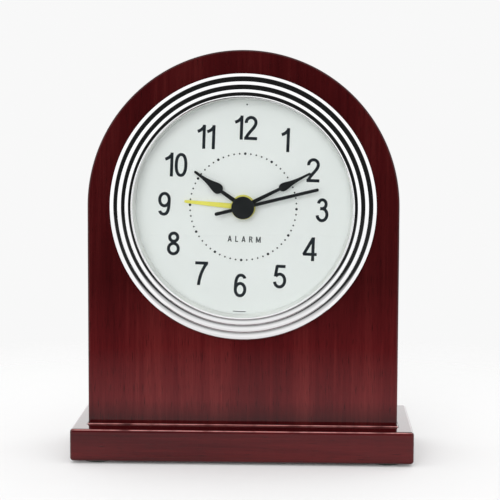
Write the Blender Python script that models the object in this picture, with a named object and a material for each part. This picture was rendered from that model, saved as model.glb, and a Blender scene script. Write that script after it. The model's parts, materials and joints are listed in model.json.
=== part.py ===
"""Arch-top mantel clock with a quartz alarm movement, modelled as separate pieces.

Blender units are metres, +Z is up and the dial faces -Y. The origin is on the resting surface,
under the middle of the base. The sizes below are in millimetres; place() scales them. Levels are
positions along an axis, and pieces on the dial's axis give X and Z from that axis.
"""

import math

import bmesh
import bpy
from mathutils import Vector
from mathutils.geometry import tessellate_polygon

MM = 0.001
GAP = 0.3  # air left between faces that rest on each other

# Case
FELT_RADIUS = 6.0
BASE_BOTTOM = 1.0
BASE_WIDTH = 132.0
BASE_DEPTH = 56.0
BASE_HEIGHT = 12.5
BASE_TOP = BASE_BOTTOM + BASE_HEIGHT
BASE_ROUND = 0.9
BLOCK_RADIUS = 60.0
BLOCK_HEIGHT = 145.0
BLOCK_DEPTH = 36.0
BLOCK_ROUND = 1.0
BLOCK_BOTTOM = BASE_TOP + GAP
BLOCK_FRONT = -BLOCK_DEPTH / 2
BLOCK_BACK = BLOCK_DEPTH / 2
BORE_RADIUS = 45.5
DIAL_HEIGHT = BASE_TOP + BLOCK_HEIGHT - BLOCK_RADIUS  # the dial's axis, at the arch's centre
CASE_SCREW_X = 25.0
DOWEL_X = 46.0

# Insert: bezel, glass, dial and their cup
BEZEL_BACK = BLOCK_FRONT - GAP
BEZEL_BORE = 43.5
BEZEL_SKIRT_RADIUS = 44.9
BEZEL_SKIRT_BACK = -12.0
# Each bead of the bezel: outer radius, inner radius, crest level
BEZEL_BEADS = ((51.2, 49.7, -21.2), (49.0, 46.9, -22.5), (46.3, 44.1, -23.7), (43.6, 42.0, -24.6))
BEAD_STEPS = 3
GROOVE_DEPTH = 1.3
LENS_RADIUS = 43.1
LENS_FRONT = -23.3
LENS_BACK = -21.9
DIAL_RADIUS = 43.1
DIAL_FRONT = -16.0
DIAL_BACK = -15.5
DIAL_OPENING = 41.4
DIAL_HOLE = 3.4
CUP_RADIUS = 43.2
CUP_WALL = 1.2
CUP_FRONT = -15.2
CUP_WEB_BACK = -13.9
CUP_BACK = 8.0
GRIP_FRONT = -11.5
GRIP_BACK = -3.5

# Movement housing
CASE_HALF = 28.0
CASE_WALL = 1.2
CASE_FRONT = -13.6
FLOOR = -12.4
CASE_RIM = 2.2
INNER_HALF = CASE_HALF - CASE_WALL
PLATE_FRONT = -5.2
PLATE_BACK = -4.4
PLATE_HALF = 21.0
COVER_FRONT = CASE_RIM + GAP
COVER_BACK = 3.8
DIVIDER_TOP = -10.9
DIVIDER_BOTTOM = -11.9
COVER_BOSSES = ((-24.2, 24.2), (24.2, 24.2), (-24.2, -8.0), (24.2, -8.0))
PLATE_PILLARS = ((-13.0, 14.0), (13.0, 14.0), (-8.5, -9.0), (10.5, -9.0))
EAR_X = 31.2
EAR_FRONT = -11.6
EAR_BACK = -10.1
BATTERY_Z = -19.3
BATTERY_LEVEL = -4.85
BATTERY_RADIUS = 7.0
DOOR_HALF = 25.6
DOOR_TOP = -11.8
DOOR_AXIS_Z = -25.7
DOOR_AXIS_LEVEL = (COVER_FRONT + COVER_BACK) / 2
DOOR_BARREL = (COVER_BACK - COVER_FRONT) / 2
SWITCH_X = -17.6
SWITCH_Z = 20.0
SWITCH_TRAVEL = 4.0

# Gears: modules in millimetres, and each wheel's teeth
ADDENDUM = 0.8
DEDENDUM = 1.1
ROOT_SHARE = 0.30
TIP_SHARE = 0.12
ROTOR_TEETH, FIFTH_TEETH = 6, 36
FIFTH_PINION, SECOND_TEETH = 6, 30
SECOND_PINION, THIRD_TEETH = 6, 45
THIRD_PINION, CENTRE_TEETH = 6, 48
CANNON_TEETH, MINUTE_TEETH = 8, 24
MINUTE_PINION, HOUR_TEETH = 8, 32
SET_TEETH = 8
ALARM_TEETH, ALARM_SET_TEETH = 24, 16
FAST_MODULE = 0.30
TRAIN_MODULE = 0.40
CENTRE_MODULE = TRAIN_MODULE * (SECOND_PINION + THIRD_TEETH) / (THIRD_PINION + CENTRE_TEETH)
MINUTE_MODULE = 0.60
HOUR_MODULE = MINUTE_MODULE * (CANNON_TEETH + MINUTE_TEETH) / (MINUTE_PINION + HOUR_TEETH)
ALARM_MODULE = 0.675

# Hands: degrees clockwise from twelve, seen from the front
HOUR_ANGLE = 306.3
MINUTE_ANGLE = 62.8
SECOND_ANGLE = 76.2
ALARM_ANGLE = 275.4
HAND_THICKNESS = 0.3
ALARM_HAND_BACK = -16.7
HOUR_HAND_BACK = -17.9
MINUTE_HAND_BACK = -18.9
SECOND_HAND_BACK = -20.05
CAP_BACK = -20.6
CAP_HEIGHT = 0.9
CAP_RADIUS = 4.35

# Finish: colour, roughness, metallic
LACQUER = ((0.105, 0.012, 0.012), 0.12, 0.0)
DARK_LACQUER = ((0.085, 0.014, 0.015), 0.14, 0.0)
CHROME = ((0.88, 0.88, 0.89), 0.06, 1.0)
GLASS = ((0.95, 0.97, 0.97), 0.02, 0.0)
DIAL_WHITE = ((0.74, 0.76, 0.74), 0.45, 0.0)
WHITE_PLASTIC = ((0.78, 0.78, 0.76), 0.4, 0.0)
BLACK_PLASTIC = ((0.02, 0.02, 0.022), 0.45, 0.0)
GREY_PLASTIC = ((0.08, 0.08, 0.085), 0.5, 0.0)
BLACK_PAINT = ((0.008, 0.009, 0.012), 0.3, 0.0)
YELLOW_PAINT = ((0.78, 0.74, 0.09), 0.4, 0.0)
GEAR_PLASTIC = ((0.72, 0.68, 0.58), 0.5, 0.0)
BRASS = ((0.78, 0.57, 0.22), 0.3, 1.0)
STEEL = ((0.55, 0.55, 0.56), 0.3, 1.0)
COPPER = ((0.72, 0.30, 0.14), 0.35, 1.0)
BOARD_GREEN = ((0.03, 0.16, 0.07), 0.5, 0.0)
FELT = ((0.02, 0.05, 0.03), 0.95, 0.0)
RUBBER = ((0.03, 0.03, 0.03), 0.8, 0.0)
BEECH = ((0.62, 0.42, 0.24), 0.6, 0.0)
CELL_JACKET = ((0.05, 0.09, 0.22), 0.35, 0.3)


# ---------------------------------------------------------------- outlines

def circle(radius, sides=24, centre=(0.0, 0.0)):
    """Points round a circle, counter-clockwise from its right-hand side."""
    turns = [2 * math.pi * step / sides for step in range(sides)]
    return [(centre[0] + radius * math.cos(a), centre[1] + radius * math.sin(a)) for a in turns]


def rectangle(left, right, bottom, top):
    return [(left, bottom), (right, bottom), (right, top), (left, top)]


def rounded_square(half, radius, steps=2):
    """Square about the axis, with round corners."""
    points = []
    for corner, (side_x, side_z) in enumerate(((1, 1), (-1, 1), (-1, -1), (1, -1))):
        for step in range(steps + 1):
            a = math.pi / 2 * (corner + step / steps)
            points.append((side_x * (half - radius) + radius * math.cos(a),
                           side_z * (half - radius) + radius * math.sin(a)))
    return points


def arch(inset, steps=32):
    """Front outline of the block: straight sides under a half circle, drawn in by INSET."""
    radius = BLOCK_RADIUS - inset
    points = [(-radius, BLOCK_BOTTOM), (radius, BLOCK_BOTTOM)]
    for step in range(steps + 1):
        a = math.pi * step / steps
        points.append((radius * math.cos(a), DIAL_HEIGHT + radius * math.sin(a)))
    return points


def gear(teeth, module, phase=0.0):
    """Toothed outline with straight flanks; PHASE is the angle of one tooth's middle."""
    pitch = 2 * math.pi / teeth
    root = module * (teeth / 2 - DEDENDUM)
    tip = module * (teeth / 2 + ADDENDUM)
    points = []
    for tooth in range(teeth):
        for radius, share in ((root, -ROOT_SHARE), (tip, -TIP_SHARE), (tip, TIP_SHARE), (root, ROOT_SHARE)):
            a = phase + (tooth + share) * pitch
            points.append((radius * math.cos(a), radius * math.sin(a)))
    return points


def mating_phase(phase, teeth, other_teeth, bearing):
    """Phase that puts a gap of the other wheel, which lies at BEARING, over a tooth of this one."""
    share = (bearing - phase) * teeth / (2 * math.pi)
    return bearing + math.pi - (0.5 - share) * 2 * math.pi / other_teeth


def arc(radius, start, end, steps):
    """Points strictly between two angles on a circle about the axis."""
    turns = [start + (end - start) * step / steps for step in range(1, steps)]
    return [(radius * math.cos(a), radius * math.sin(a)) for a in turns]


def hand(hub, blade, tail=((0.0, 0.0),), steps=12):
    """Outline of a hand pointing along +V: a round hub, a blade and maybe a tail.

    BLADE and TAIL list (distance from the axis, half width), going outwards from the hub.
    """
    blade_turn = math.acos(blade[0][1] / hub)
    tail_turn = math.pi + math.acos(tail[0][1] / hub)
    points = [(half, out) for out, half in blade]
    points += [(-half, out) for out, half in reversed(blade) if half > 0]
    points += arc(hub, math.pi - blade_turn, tail_turn, steps)
    if len(tail) > 1:
        points += [(-half, -out) for out, half in tail]
        points += [(half, -out) for out, half in reversed(tail)]
    points += arc(hub, 3 * math.pi - tail_turn, 2 * math.pi + blade_turn, steps)
    return points


def clockwise(outline, degrees):
    """OUTLINE turned clockwise as seen from the front."""
    sine, cosine = math.sin(math.radians(degrees)), math.cos(math.radians(degrees))
    return [(x * cosine + z * sine, z * cosine - x * sine) for x, z in outline]


def polar(distance, degrees):
    return (distance * math.cos(math.radians(degrees)), distance * math.sin(math.radians(degrees)))


# ---------------------------------------------------------------- bodies

def place(u, v, level, axis):
    """Point in metres of an outline that lies across AXIS."""
    order = {"X": (level, u, v), "Y": (u, level, v), "Z": (u, v, level)}[axis]
    return Vector(order) * MM


def bridge(mesh, near, far):
    for index in range(len(near)):
        following = (index + 1) % len(near)
        mesh.faces.new((near[index], far[index], far[following], near[following]))


def fill(mesh, outlines, loops):
    """Flat face inside the first outline and outside the others."""
    verts = [vert for loop in loops for vert in loop]
    flat = [[Vector((u, v, 0.0)) for u, v in outline] for outline in outlines]
    for corners in tessellate_polygon(flat):
        mesh.faces.new([verts[corner] for corner in corners])


def reach(outline):
    return max(math.hypot(u, v) for u, v in outline)


def solid(rings, holes=(), axis="Y"):
    """Closed body through RINGS of (outline, level), with HOLES right through from end to end.

    Rings with the same number of points are joined by side faces. Rings that differ lie at one
    level, and the step between them is filled.
    """
    mesh = bmesh.new()

    def loop(outline, level):
        return [mesh.verts.new(place(u, v, level, axis)) for u, v in outline]

    loops = [loop(outline, level) for outline, level in rings]
    for index in range(len(rings) - 1):
        near, far = rings[index][0], rings[index + 1][0]
        if len(near) == len(far):
            bridge(mesh, loops[index], loops[index + 1])
            continue
        pair = [(near, loops[index]), (far, loops[index + 1])]
        pair.sort(key=lambda item: -reach(item[0]))
        fill(mesh, [outline for outline, _ in pair], [verts for _, verts in pair])
    near_holes = [loop(hole, rings[0][1]) for hole in holes]
    far_holes = [loop(hole, rings[-1][1]) for hole in holes]
    fill(mesh, [rings[0][0], *holes], [loops[0], *near_holes])
    fill(mesh, [rings[-1][0], *holes], [loops[-1], *far_holes])
    for near, far in zip(near_holes, far_holes):
        bridge(mesh, near, far)
    bmesh.ops.recalc_face_normals(mesh, faces=mesh.faces)
    return mesh


def slab(outline, front, back, holes=(), axis="Y"):
    return solid([(outline, front), (outline, back)], holes, axis)


def box(x_range, y_range, z_range, rounding=0.0, segments=2):
    mesh = slab(rectangle(*x_range, *z_range), *y_range)
    if rounding:
        bmesh.ops.dissolve_limit(mesh, angle_limit=0.01, verts=mesh.verts, edges=mesh.edges)
        bmesh.ops.bevel(mesh, geom=mesh.edges, offset=rounding * MM, segments=segments,
                        profile=0.5, affect="EDGES", clamp_overlap=True)
    return mesh


def turned_ring(profile, sides):
    """Ring about the dial's axis from a closed profile of (radius, level)."""
    mesh = bmesh.new()
    loops = [[mesh.verts.new(place(u, v, level, "Y")) for u, v in circle(radius, sides)]
             for radius, level in profile]
    for index, near in enumerate(loops):
        bridge(mesh, near, loops[(index + 1) % len(loops)])
    bmesh.ops.recalc_face_normals(mesh, faces=mesh.faces)
    return mesh


def rod(centre, *steps, sides=12):
    """Stepped round body along Y at CENTRE; STEPS are (radius, front, back), front to back."""
    rings = []
    for radius, front, back in steps:
        rings += [(circle(radius, sides, centre), front), (circle(radius, sides, centre), back)]
    return solid(rings)


def arbor(*steps, bore=0.0):
    """Wheel or pinion on its arbor, from (outline, front, back) steps listed front to back."""
    rings = []
    for outline, front, back in steps:
        rings += [(outline, front), (outline, back)]
    holes = [circle(bore, 16)] if bore else []
    return solid(rings, holes)


# ---------------------------------------------------------------- objects

def make_material(name, finish):
    colour, roughness, metallic = finish
    material = bpy.data.materials.new(name)
    material.use_nodes = True
    shader = material.node_tree.nodes["Principled BSDF"]
    shader.inputs["Base Color"].default_value = (*colour, 1.0)
    shader.inputs["Roughness"].default_value = roughness
    shader.inputs["Metallic"].default_value = metallic
    return material


def add(name, mesh, finish, origin=(0.0, 0.0, DIAL_HEIGHT)):
    """New object from MESH, whose own origin goes to ORIGIN (millimetres)."""
    data = bpy.data.meshes.new(name)
    mesh.to_mesh(data)
    mesh.free()
    data.shade_smooth()
    data.set_sharp_from_angle(angle=math.radians(30))
    data.materials.append(make_material(name, finish))
    item = bpy.data.objects.new(name, data)
    item.location = Vector(origin) * MM
    bpy.context.collection.objects.link(item)
    return item


def combine(item, mesh, operation):
    """Unite ITEM with MESH, or cut MESH out of it; MESH is given from ITEM's own origin."""
    tool_data = bpy.data.meshes.new("tool")
    mesh.to_mesh(tool_data)
    mesh.free()
    tool = bpy.data.objects.new("tool", tool_data)
    tool.location = item.location
    bpy.context.collection.objects.link(tool)
    modifier = item.modifiers.new(operation.title(), "BOOLEAN")
    modifier.operation = operation
    modifier.solver = "EXACT"
    modifier.object = tool
    bpy.context.view_layer.update()
    evaluated = item.evaluated_get(bpy.context.evaluated_depsgraph_get())
    result = bpy.data.meshes.new_from_object(evaluated)
    item.modifiers.clear()
    previous = item.data
    item.data = result
    bpy.data.meshes.remove(previous)
    bpy.data.objects.remove(tool)
    bpy.data.meshes.remove(tool_data)
    result.name = item.name
    result.shade_smooth()
    result.set_sharp_from_angle(angle=math.radians(30))


def join(item, mesh):
    combine(item, mesh, "UNION")


def cut(item, mesh):
    combine(item, mesh, "DIFFERENCE")


# ---------------------------------------------------------------- case

def make_case():
    """Arched block on its base, with the screws, dowels and felt pads that belong to them."""
    ground = (0.0, 0.0, 0.0)
    soft = BLOCK_ROUND
    rounding = [(soft, 0.0), (0.0, soft)]
    rings = [(arch(inset), BLOCK_FRONT + depth) for inset, depth in rounding]
    rings += [(arch(inset), BLOCK_BACK - depth) for inset, depth in reversed(rounding)]
    bore = circle(BORE_RADIUS, 48, (0.0, DIAL_HEIGHT))
    block = add("case_body", solid(rings, [bore]), LACQUER, ground)

    base = add("base_plinth", box((-BASE_WIDTH / 2, BASE_WIDTH / 2), (-BASE_DEPTH / 2, BASE_DEPTH / 2),
                                  (BASE_BOTTOM, BASE_TOP), BASE_ROUND), DARK_LACQUER, ground)

    screw_sides, dowel_sides = 12, 16
    for side, label in ((-1, "left"), (1, "right")):
        screw_at = (side * CASE_SCREW_X, 0.0)
        dowel_at = (side * DOWEL_X, 0.0)
        cut(block, slab(circle(2.2, screw_sides, screw_at), BLOCK_BOTTOM - 2, 36.0, axis="Z"))
        cut(block, slab(circle(4.3, dowel_sides, dowel_at), BLOCK_BOTTOM - 2, 24.0, axis="Z"))
        cut(base, slab(circle(2.3, screw_sides, screw_at), BASE_BOTTOM - 2, BASE_TOP + 2, axis="Z"))
        cut(base, slab(circle(4.6, dowel_sides, screw_at), BASE_BOTTOM - 2, BASE_BOTTOM + 3.4, axis="Z"))
        cut(base, slab(circle(4.3, dowel_sides, dowel_at), 6.7, BASE_TOP + 2, axis="Z"))
        head, shank, point = circle(4.2, screw_sides), circle(1.9, screw_sides), circle(0.5, screw_sides)
        wood_screw = solid([(head, 0.0), (head, 0.8), (shank, 2.8), (shank, 28.0), (point, 33.0)], axis="Z")
        add(f"case_screw_{label}", wood_screw, STEEL, (*screw_at, BASE_BOTTOM + 0.5))
        pin, end = circle(4.0, dowel_sides), circle(3.4, dowel_sides)
        dowel = solid([(end, 0.0), (pin, 0.8), (pin, 15.8), (end, 16.6)], axis="Z")
        add(f"dowel_{label}", dowel, BEECH, (*dowel_at, 7.0))

    felt_x, felt_y = BASE_WIDTH / 2 - 10.0, BASE_DEPTH / 2 - 9.0
    corners = {"front_left": (-1, -1), "front_right": (1, -1), "rear_left": (-1, 1), "rear_right": (1, 1)}
    for label, (side, end) in corners.items():
        pad = slab(circle(FELT_RADIUS), 0.0, BASE_BOTTOM - GAP, axis="Z")
        add(f"felt_pad_{label}", pad, FELT, (side * felt_x, end * felt_y, 0.0))


# ---------------------------------------------------------------- insert

def bezel_profile():
    """Closed section of the bezel: round beads in front, a flat back, a skirt into the bore."""
    profile = []
    for number, (outer, inner, crest) in enumerate(BEZEL_BEADS):
        middle, half = (outer + inner) / 2, (outer - inner) / 2
        for step in range(BEAD_STEPS + 1):
            a = math.pi * step / BEAD_STEPS
            profile.append((middle + half * math.cos(a), crest + GROOVE_DEPTH * (1 - math.sin(a))))
        if number + 1 < len(BEZEL_BEADS):
            following = BEZEL_BEADS[number + 1][0]
            profile.append(((inner + following) / 2, crest + GROOVE_DEPTH + 0.25))
    seat = LENS_FRONT - GAP
    profile += [(BEZEL_BEADS[-1][1], seat), (BEZEL_BORE, seat), (BEZEL_BORE, BEZEL_SKIRT_BACK)]
    profile += [(BEZEL_SKIRT_RADIUS, BEZEL_SKIRT_BACK), (BEZEL_SKIRT_RADIUS, BEZEL_BACK)]
    profile += [(BEZEL_BEADS[0][0], BEZEL_BACK)]
    return profile


def make_insert():
    """Bezel, lens, reflector ring, dial, cup and the rubber ring that grips the bore."""
    add("bezel", turned_ring(bezel_profile(), 32), CHROME)

    rim = 0.3
    lens_edge, lens_face = circle(LENS_RADIUS, 40), circle(LENS_RADIUS - rim, 40)
    lens = solid([(lens_face, LENS_FRONT), (lens_edge, LENS_FRONT + rim), (lens_edge, LENS_BACK)])
    add("lens", lens, GLASS)

    reflector = [(DIAL_RADIUS, LENS_BACK + GAP), (DIAL_RADIUS, DIAL_FRONT - GAP),
                 (DIAL_OPENING, DIAL_FRONT - GAP), (DIAL_OPENING + 1.0, LENS_BACK + GAP)]
    add("reflector_ring", turned_ring(reflector, 40), WHITE_PLASTIC)

    add("dial", slab(circle(DIAL_RADIUS, 40), DIAL_FRONT, DIAL_BACK, [circle(DIAL_HOLE)]), DIAL_WHITE)

    outer, inner = circle(CUP_RADIUS, 40), circle(CUP_RADIUS - CUP_WALL, 40)
    rings = [(outer, CUP_FRONT), (outer, CUP_BACK), (inner, CUP_BACK), (inner, CUP_WEB_BACK)]
    cup = add("insert_cup", solid(rings, [circle(4.4)]), BLACK_PLASTIC)
    for side in (-1, 1):
        centre = (side * EAR_X, 0.0)
        join(cup, rod(centre, (2.4, CUP_WEB_BACK - 0.4, EAR_FRONT - GAP), sides=16))
        cut(cup, rod(centre, (1.1, CUP_FRONT + 0.6, EAR_FRONT + 1.0)))

    middle = (GRIP_FRONT + GRIP_BACK) / 2
    inside, trough, bulge = CUP_RADIUS + GAP, BORE_RADIUS - 0.9, BORE_RADIUS - GAP
    grip = [(inside, GRIP_FRONT), (trough, GRIP_FRONT), (bulge, GRIP_FRONT + 2.0), (trough, middle),
            (bulge, GRIP_BACK - 2.0), (trough, GRIP_BACK), (inside, GRIP_BACK)]
    add("grip_ring", turned_ring(grip, 36), RUBBER)


# ---------------------------------------------------------------- gear positions

THIRD_AT = polar(TRAIN_MODULE * (SECOND_PINION + THIRD_TEETH) / 2, 100.0)
FIFTH_AT = polar(TRAIN_MODULE * (FIFTH_PINION + SECOND_TEETH) / 2, 60.0)
ROTOR_STEP = polar(FAST_MODULE * (ROTOR_TEETH + FIFTH_TEETH) / 2, 60.0)
ROTOR_AT = (FIFTH_AT[0] + ROTOR_STEP[0], FIFTH_AT[1] + ROTOR_STEP[1])
MINUTE_DISTANCE = MINUTE_MODULE * (CANNON_TEETH + MINUTE_TEETH) / 2
SHAFT_Z = -2.3
ALARM_DISTANCE = ALARM_MODULE * (ALARM_TEETH + ALARM_SET_TEETH) / 2
ALARM_SHAFT_AT = (-math.sqrt(ALARM_DISTANCE ** 2 - SHAFT_Z ** 2), SHAFT_Z)
TIME_SHAFT_AT = (16.0, SHAFT_Z)


def minute_wheel_centre():
    """The wheel's axis, equally far from the dial's axis and from the time-setting shaft."""
    span = math.hypot(*TIME_SHAFT_AT)
    shaft_direction = math.degrees(math.atan2(TIME_SHAFT_AT[1], TIME_SHAFT_AT[0]))
    lift = math.degrees(math.acos(span / 2 / MINUTE_DISTANCE))
    return polar(MINUTE_DISTANCE, shaft_direction + lift)


MINUTE_WHEEL_AT = minute_wheel_centre()


def direction(start, end):
    return math.atan2(end[1] - start[1], end[0] - start[0])


# ---------------------------------------------------------------- movement housing

def make_housing():
    """Case of the movement, its middle plate, its back cover and their screws."""
    outer, inner = rounded_square(CASE_HALF, 2.0), rounded_square(INNER_HALF, 0.8)
    rings = [(outer, CASE_FRONT), (outer, CASE_RIM), (inner, CASE_RIM), (inner, FLOOR)]
    floor_holes = [circle(DIAL_HOLE), circle(0.8, 8, THIRD_AT),
                   circle(1.0, 8, TIME_SHAFT_AT), circle(1.0, 8, ALARM_SHAFT_AT)]
    case = add("movement_case", solid(rings, floor_holes), GREY_PLASTIC)
    join(case, box((-INNER_HALF - 0.5, INNER_HALF + 0.5), (FLOOR - 0.5, CASE_RIM),
                   (DIVIDER_BOTTOM, DIVIDER_TOP)))
    for centre in COVER_BOSSES:
        join(case, rod(centre, (2.2, FLOOR - 0.5, CASE_RIM), sides=10))
        cut(case, rod(centre, (1.05, -5.0, CASE_RIM + 1.0), sides=8))
    for centre in PLATE_PILLARS:
        shoulder = PLATE_FRONT - GAP
        join(case, rod(centre, (1.6, FLOOR - 0.5, shoulder), (0.7, shoulder, -4.0), sides=8))
    join(case, rod(MINUTE_WHEEL_AT, (0.65, FLOOR - 0.5, -8.3)))
    for side in (-1, 1):
        ear = sorted((side * (CASE_HALF - 0.6), side * (EAR_X + 2.8)))
        join(case, box(ear, (EAR_FRONT, EAR_BACK), (-4.0, 4.0)))
        cut(case, rod((side * EAR_X, 0.0), (1.2, EAR_FRONT - 1.0, EAR_BACK + 1.0)))

    plate = rectangle(-PLATE_HALF, PLATE_HALF, DIVIDER_TOP + 0.5, PLATE_HALF)
    plate_holes = [circle(0.8, 12)] + [circle(0.6, 8, at) for at in (THIRD_AT, FIFTH_AT, ROTOR_AT)]
    plate_holes += [circle(1.6, 12, at) for at in (TIME_SHAFT_AT, ALARM_SHAFT_AT)]
    plate_holes += [circle(1.0, 8, at) for at in PLATE_PILLARS]
    add("middle_plate", slab(plate, PLATE_FRONT, PLATE_BACK, plate_holes), WHITE_PLASTIC)

    make_back_cover()
    for number, centre in enumerate(COVER_BOSSES, 1):
        make_screw(f"cover_screw_{number}", centre, COVER_BACK + GAP, -4.4)
    make_screw("movement_screw_left", (-EAR_X, 0.0), EAR_BACK + GAP, CUP_FRONT + 0.9)
    make_screw("movement_screw_right", (EAR_X, 0.0), EAR_BACK + GAP, CUP_FRONT + 0.9)


def make_back_cover():
    """Rear cover with the battery opening, shaft holes, switch slot and sound holes."""
    opening = rectangle(-DOOR_HALF - 0.4, DOOR_HALF + 0.4, DOOR_AXIS_Z - DOOR_BARREL - 0.3, DOOR_TOP + 0.4)
    slot_reach = SWITCH_TRAVEL + 1.4
    slot = rectangle(SWITCH_X - 1.4, SWITCH_X + slot_reach, SWITCH_Z - 1.4, SWITCH_Z + 1.4)
    holes = [opening, slot, circle(1.7, 16, TIME_SHAFT_AT), circle(1.7, 16, ALARM_SHAFT_AT)]
    holes += [circle(1.2, 12, centre) for centre in COVER_BOSSES]
    for row in range(5):
        bottom = 7.0 + 2.0 * row
        holes.append(rectangle(-20.0, -11.0, bottom, bottom + 0.9))
    panel = slab(rounded_square(CASE_HALF, 2.0), COVER_FRONT, COVER_BACK, holes)
    cover = add("back_cover", panel, GREY_PLASTIC)
    for centre in ((0.0, 0.0), FIFTH_AT, ROTOR_AT):
        cut(cover, rod(centre, (0.6, COVER_FRONT - 0.5, COVER_FRONT + 0.8), sides=8))
    pin_hole = circle(0.55, 8, (DOOR_AXIS_LEVEL, DOOR_AXIS_Z))
    for side in (-1, 1):
        ends = sorted((side * DOOR_HALF, side * (DOOR_HALF + 1.5)))
        cut(cover, slab(pin_hole, *ends, axis="X"))


def make_screw(name, centre, head_front, tip):
    """Slotted self-tapping screw with its head at the rear."""
    sides = 10
    head, shank, thread, point = [circle(radius, sides) for radius in (1.9, 0.8, 0.75, 0.3)]
    rings = [(point, tip), (thread, tip + 0.8), (shank, head_front), (head, head_front),
             (head, head_front + 0.7), (circle(1.4, sides), head_front + 1.05)]
    item = add(name, solid(rings), STEEL, (centre[0], 0.0, DIAL_HEIGHT + centre[1]))
    cut(item, box((-2.5, 2.5), (head_front + 0.5, head_front + 2.0), (-0.25, 0.25)))


# ---------------------------------------------------------------- wheels

def wheel_object(name, mesh, at, finish=GEAR_PLASTIC):
    return add(name, mesh, finish, (at[0], 0.0, DIAL_HEIGHT + at[1]))


def make_train():
    """Stepping motor's rotor and the running train down to the centre wheel."""
    centre = (0.0, 0.0)
    second_phase = 0.0
    fifth_pinion = mating_phase(second_phase, SECOND_TEETH, FIFTH_PINION, direction(centre, FIFTH_AT))
    rotor_phase = mating_phase(fifth_pinion, FIFTH_TEETH, ROTOR_TEETH, direction(FIFTH_AT, ROTOR_AT))
    third_phase = mating_phase(second_phase, SECOND_PINION, THIRD_TEETH, direction(centre, THIRD_AT))
    centre_phase = mating_phase(third_phase, THIRD_PINION, CENTRE_TEETH, direction(THIRD_AT, centre))
    pivot, thin = circle(0.35, 12), circle(0.45, 12)

    wheel_object("rotor_magnet", slab(circle(2.0, 24), -1.0, 0.7, [circle(0.7, 12)]), ROTOR_AT, STEEL)
    wheel_object("rotor_pinion", arbor(
        (pivot, -5.0, -2.9), (gear(ROTOR_TEETH, FAST_MODULE, rotor_phase), -2.9, -1.4),
        (thin, -1.4, 1.6), (pivot, 1.6, 3.0)), ROTOR_AT)
    wheel_object("fifth_wheel", arbor(
        (pivot, -5.0, -4.1), (gear(FIFTH_PINION, TRAIN_MODULE, fifth_pinion), -4.1, -2.4),
        (gear(FIFTH_TEETH, FAST_MODULE, fifth_pinion), -2.4, -1.7),
        (thin, -1.7, 1.6), (pivot, 1.6, 3.0)), FIFTH_AT)
    wheel_object("second_wheel", arbor(
        (circle(0.45, 12), -20.5, -6.9), (gear(SECOND_PINION, TRAIN_MODULE, second_phase), -6.9, -5.6),
        (circle(0.5, 12), -5.6, -3.9), (gear(SECOND_TEETH, TRAIN_MODULE, second_phase), -3.9, -3.2),
        (thin, -3.2, 1.6), (pivot, 1.6, 3.0)), centre)
    wheel_object("third_wheel", arbor(
        (thin, -13.2, -8.2), (gear(THIRD_PINION, CENTRE_MODULE, third_phase), -8.2, -6.6),
        (gear(THIRD_TEETH, TRAIN_MODULE, third_phase), -6.6, -5.9), (pivot, -5.9, -4.8)), THIRD_AT)
    wheel_object("centre_wheel", arbor(
        (gear(CENTRE_TEETH, CENTRE_MODULE, centre_phase), -7.9, -7.2), bore=1.5), centre)


def make_motion_work():
    """Wheels between the minute and hour hands, and the time-setting wheel and knob."""
    centre = (0.0, 0.0)
    cannon_phase = 0.0
    wheel_phase = mating_phase(cannon_phase, CANNON_TEETH, MINUTE_TEETH, direction(centre, MINUTE_WHEEL_AT))
    hour_phase = mating_phase(wheel_phase, MINUTE_PINION, HOUR_TEETH, direction(MINUTE_WHEEL_AT, centre))
    set_bearing = direction(MINUTE_WHEEL_AT, TIME_SHAFT_AT)
    set_phase = mating_phase(wheel_phase, MINUTE_TEETH, SET_TEETH, set_bearing)

    minute_tube = circle(1.2, 16)
    wheel_object("cannon_pinion", arbor(
        (minute_tube, -19.5, -9.4), (gear(CANNON_TEETH, MINUTE_MODULE, cannon_phase), -9.4, -8.3),
        (minute_tube, -8.3, -7.0), bore=0.75), centre)
    wheel_object("minute_wheel", arbor(
        (gear(MINUTE_PINION, HOUR_MODULE, wheel_phase), -10.8, -9.2),
        (gear(MINUTE_TEETH, MINUTE_MODULE, wheel_phase), -9.2, -8.5), bore=0.9), MINUTE_WHEEL_AT)
    wheel_object("hour_wheel", arbor(
        (circle(2.0, 16), -18.5, -10.6), (gear(HOUR_TEETH, HOUR_MODULE, hour_phase), -10.6, -9.9),
        bore=1.45), centre)
    wheel_object("time_set_wheel", arbor(
        (circle(0.7, 12), -13.2, -9.6), (gear(SET_TEETH, MINUTE_MODULE, set_phase), -9.6, -8.2),
        (circle(1.2, 12), -8.2, 7.4)), TIME_SHAFT_AT)
    make_knob("time_knob", TIME_SHAFT_AT)


def make_alarm_work():
    """Alarm wheel, its setting wheel and knob."""
    wheel_phase = 0.0
    set_bearing = direction((0.0, 0.0), ALARM_SHAFT_AT)
    set_phase = mating_phase(wheel_phase, ALARM_TEETH, ALARM_SET_TEETH, set_bearing)
    wheel_object("alarm_wheel", arbor(
        (circle(2.9, 16), -17.2, -11.8), (gear(ALARM_TEETH, ALARM_MODULE, wheel_phase), -11.8, -11.1),
        bore=2.25), (0.0, 0.0))
    wheel_object("alarm_set_wheel", arbor(
        (circle(0.7, 12), -13.2, -11.9), (gear(ALARM_SET_TEETH, ALARM_MODULE, set_phase), -11.9, -11.0),
        (circle(1.2, 12), -11.0, 7.4)), ALARM_SHAFT_AT)
    make_knob("alarm_knob", ALARM_SHAFT_AT)


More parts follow.
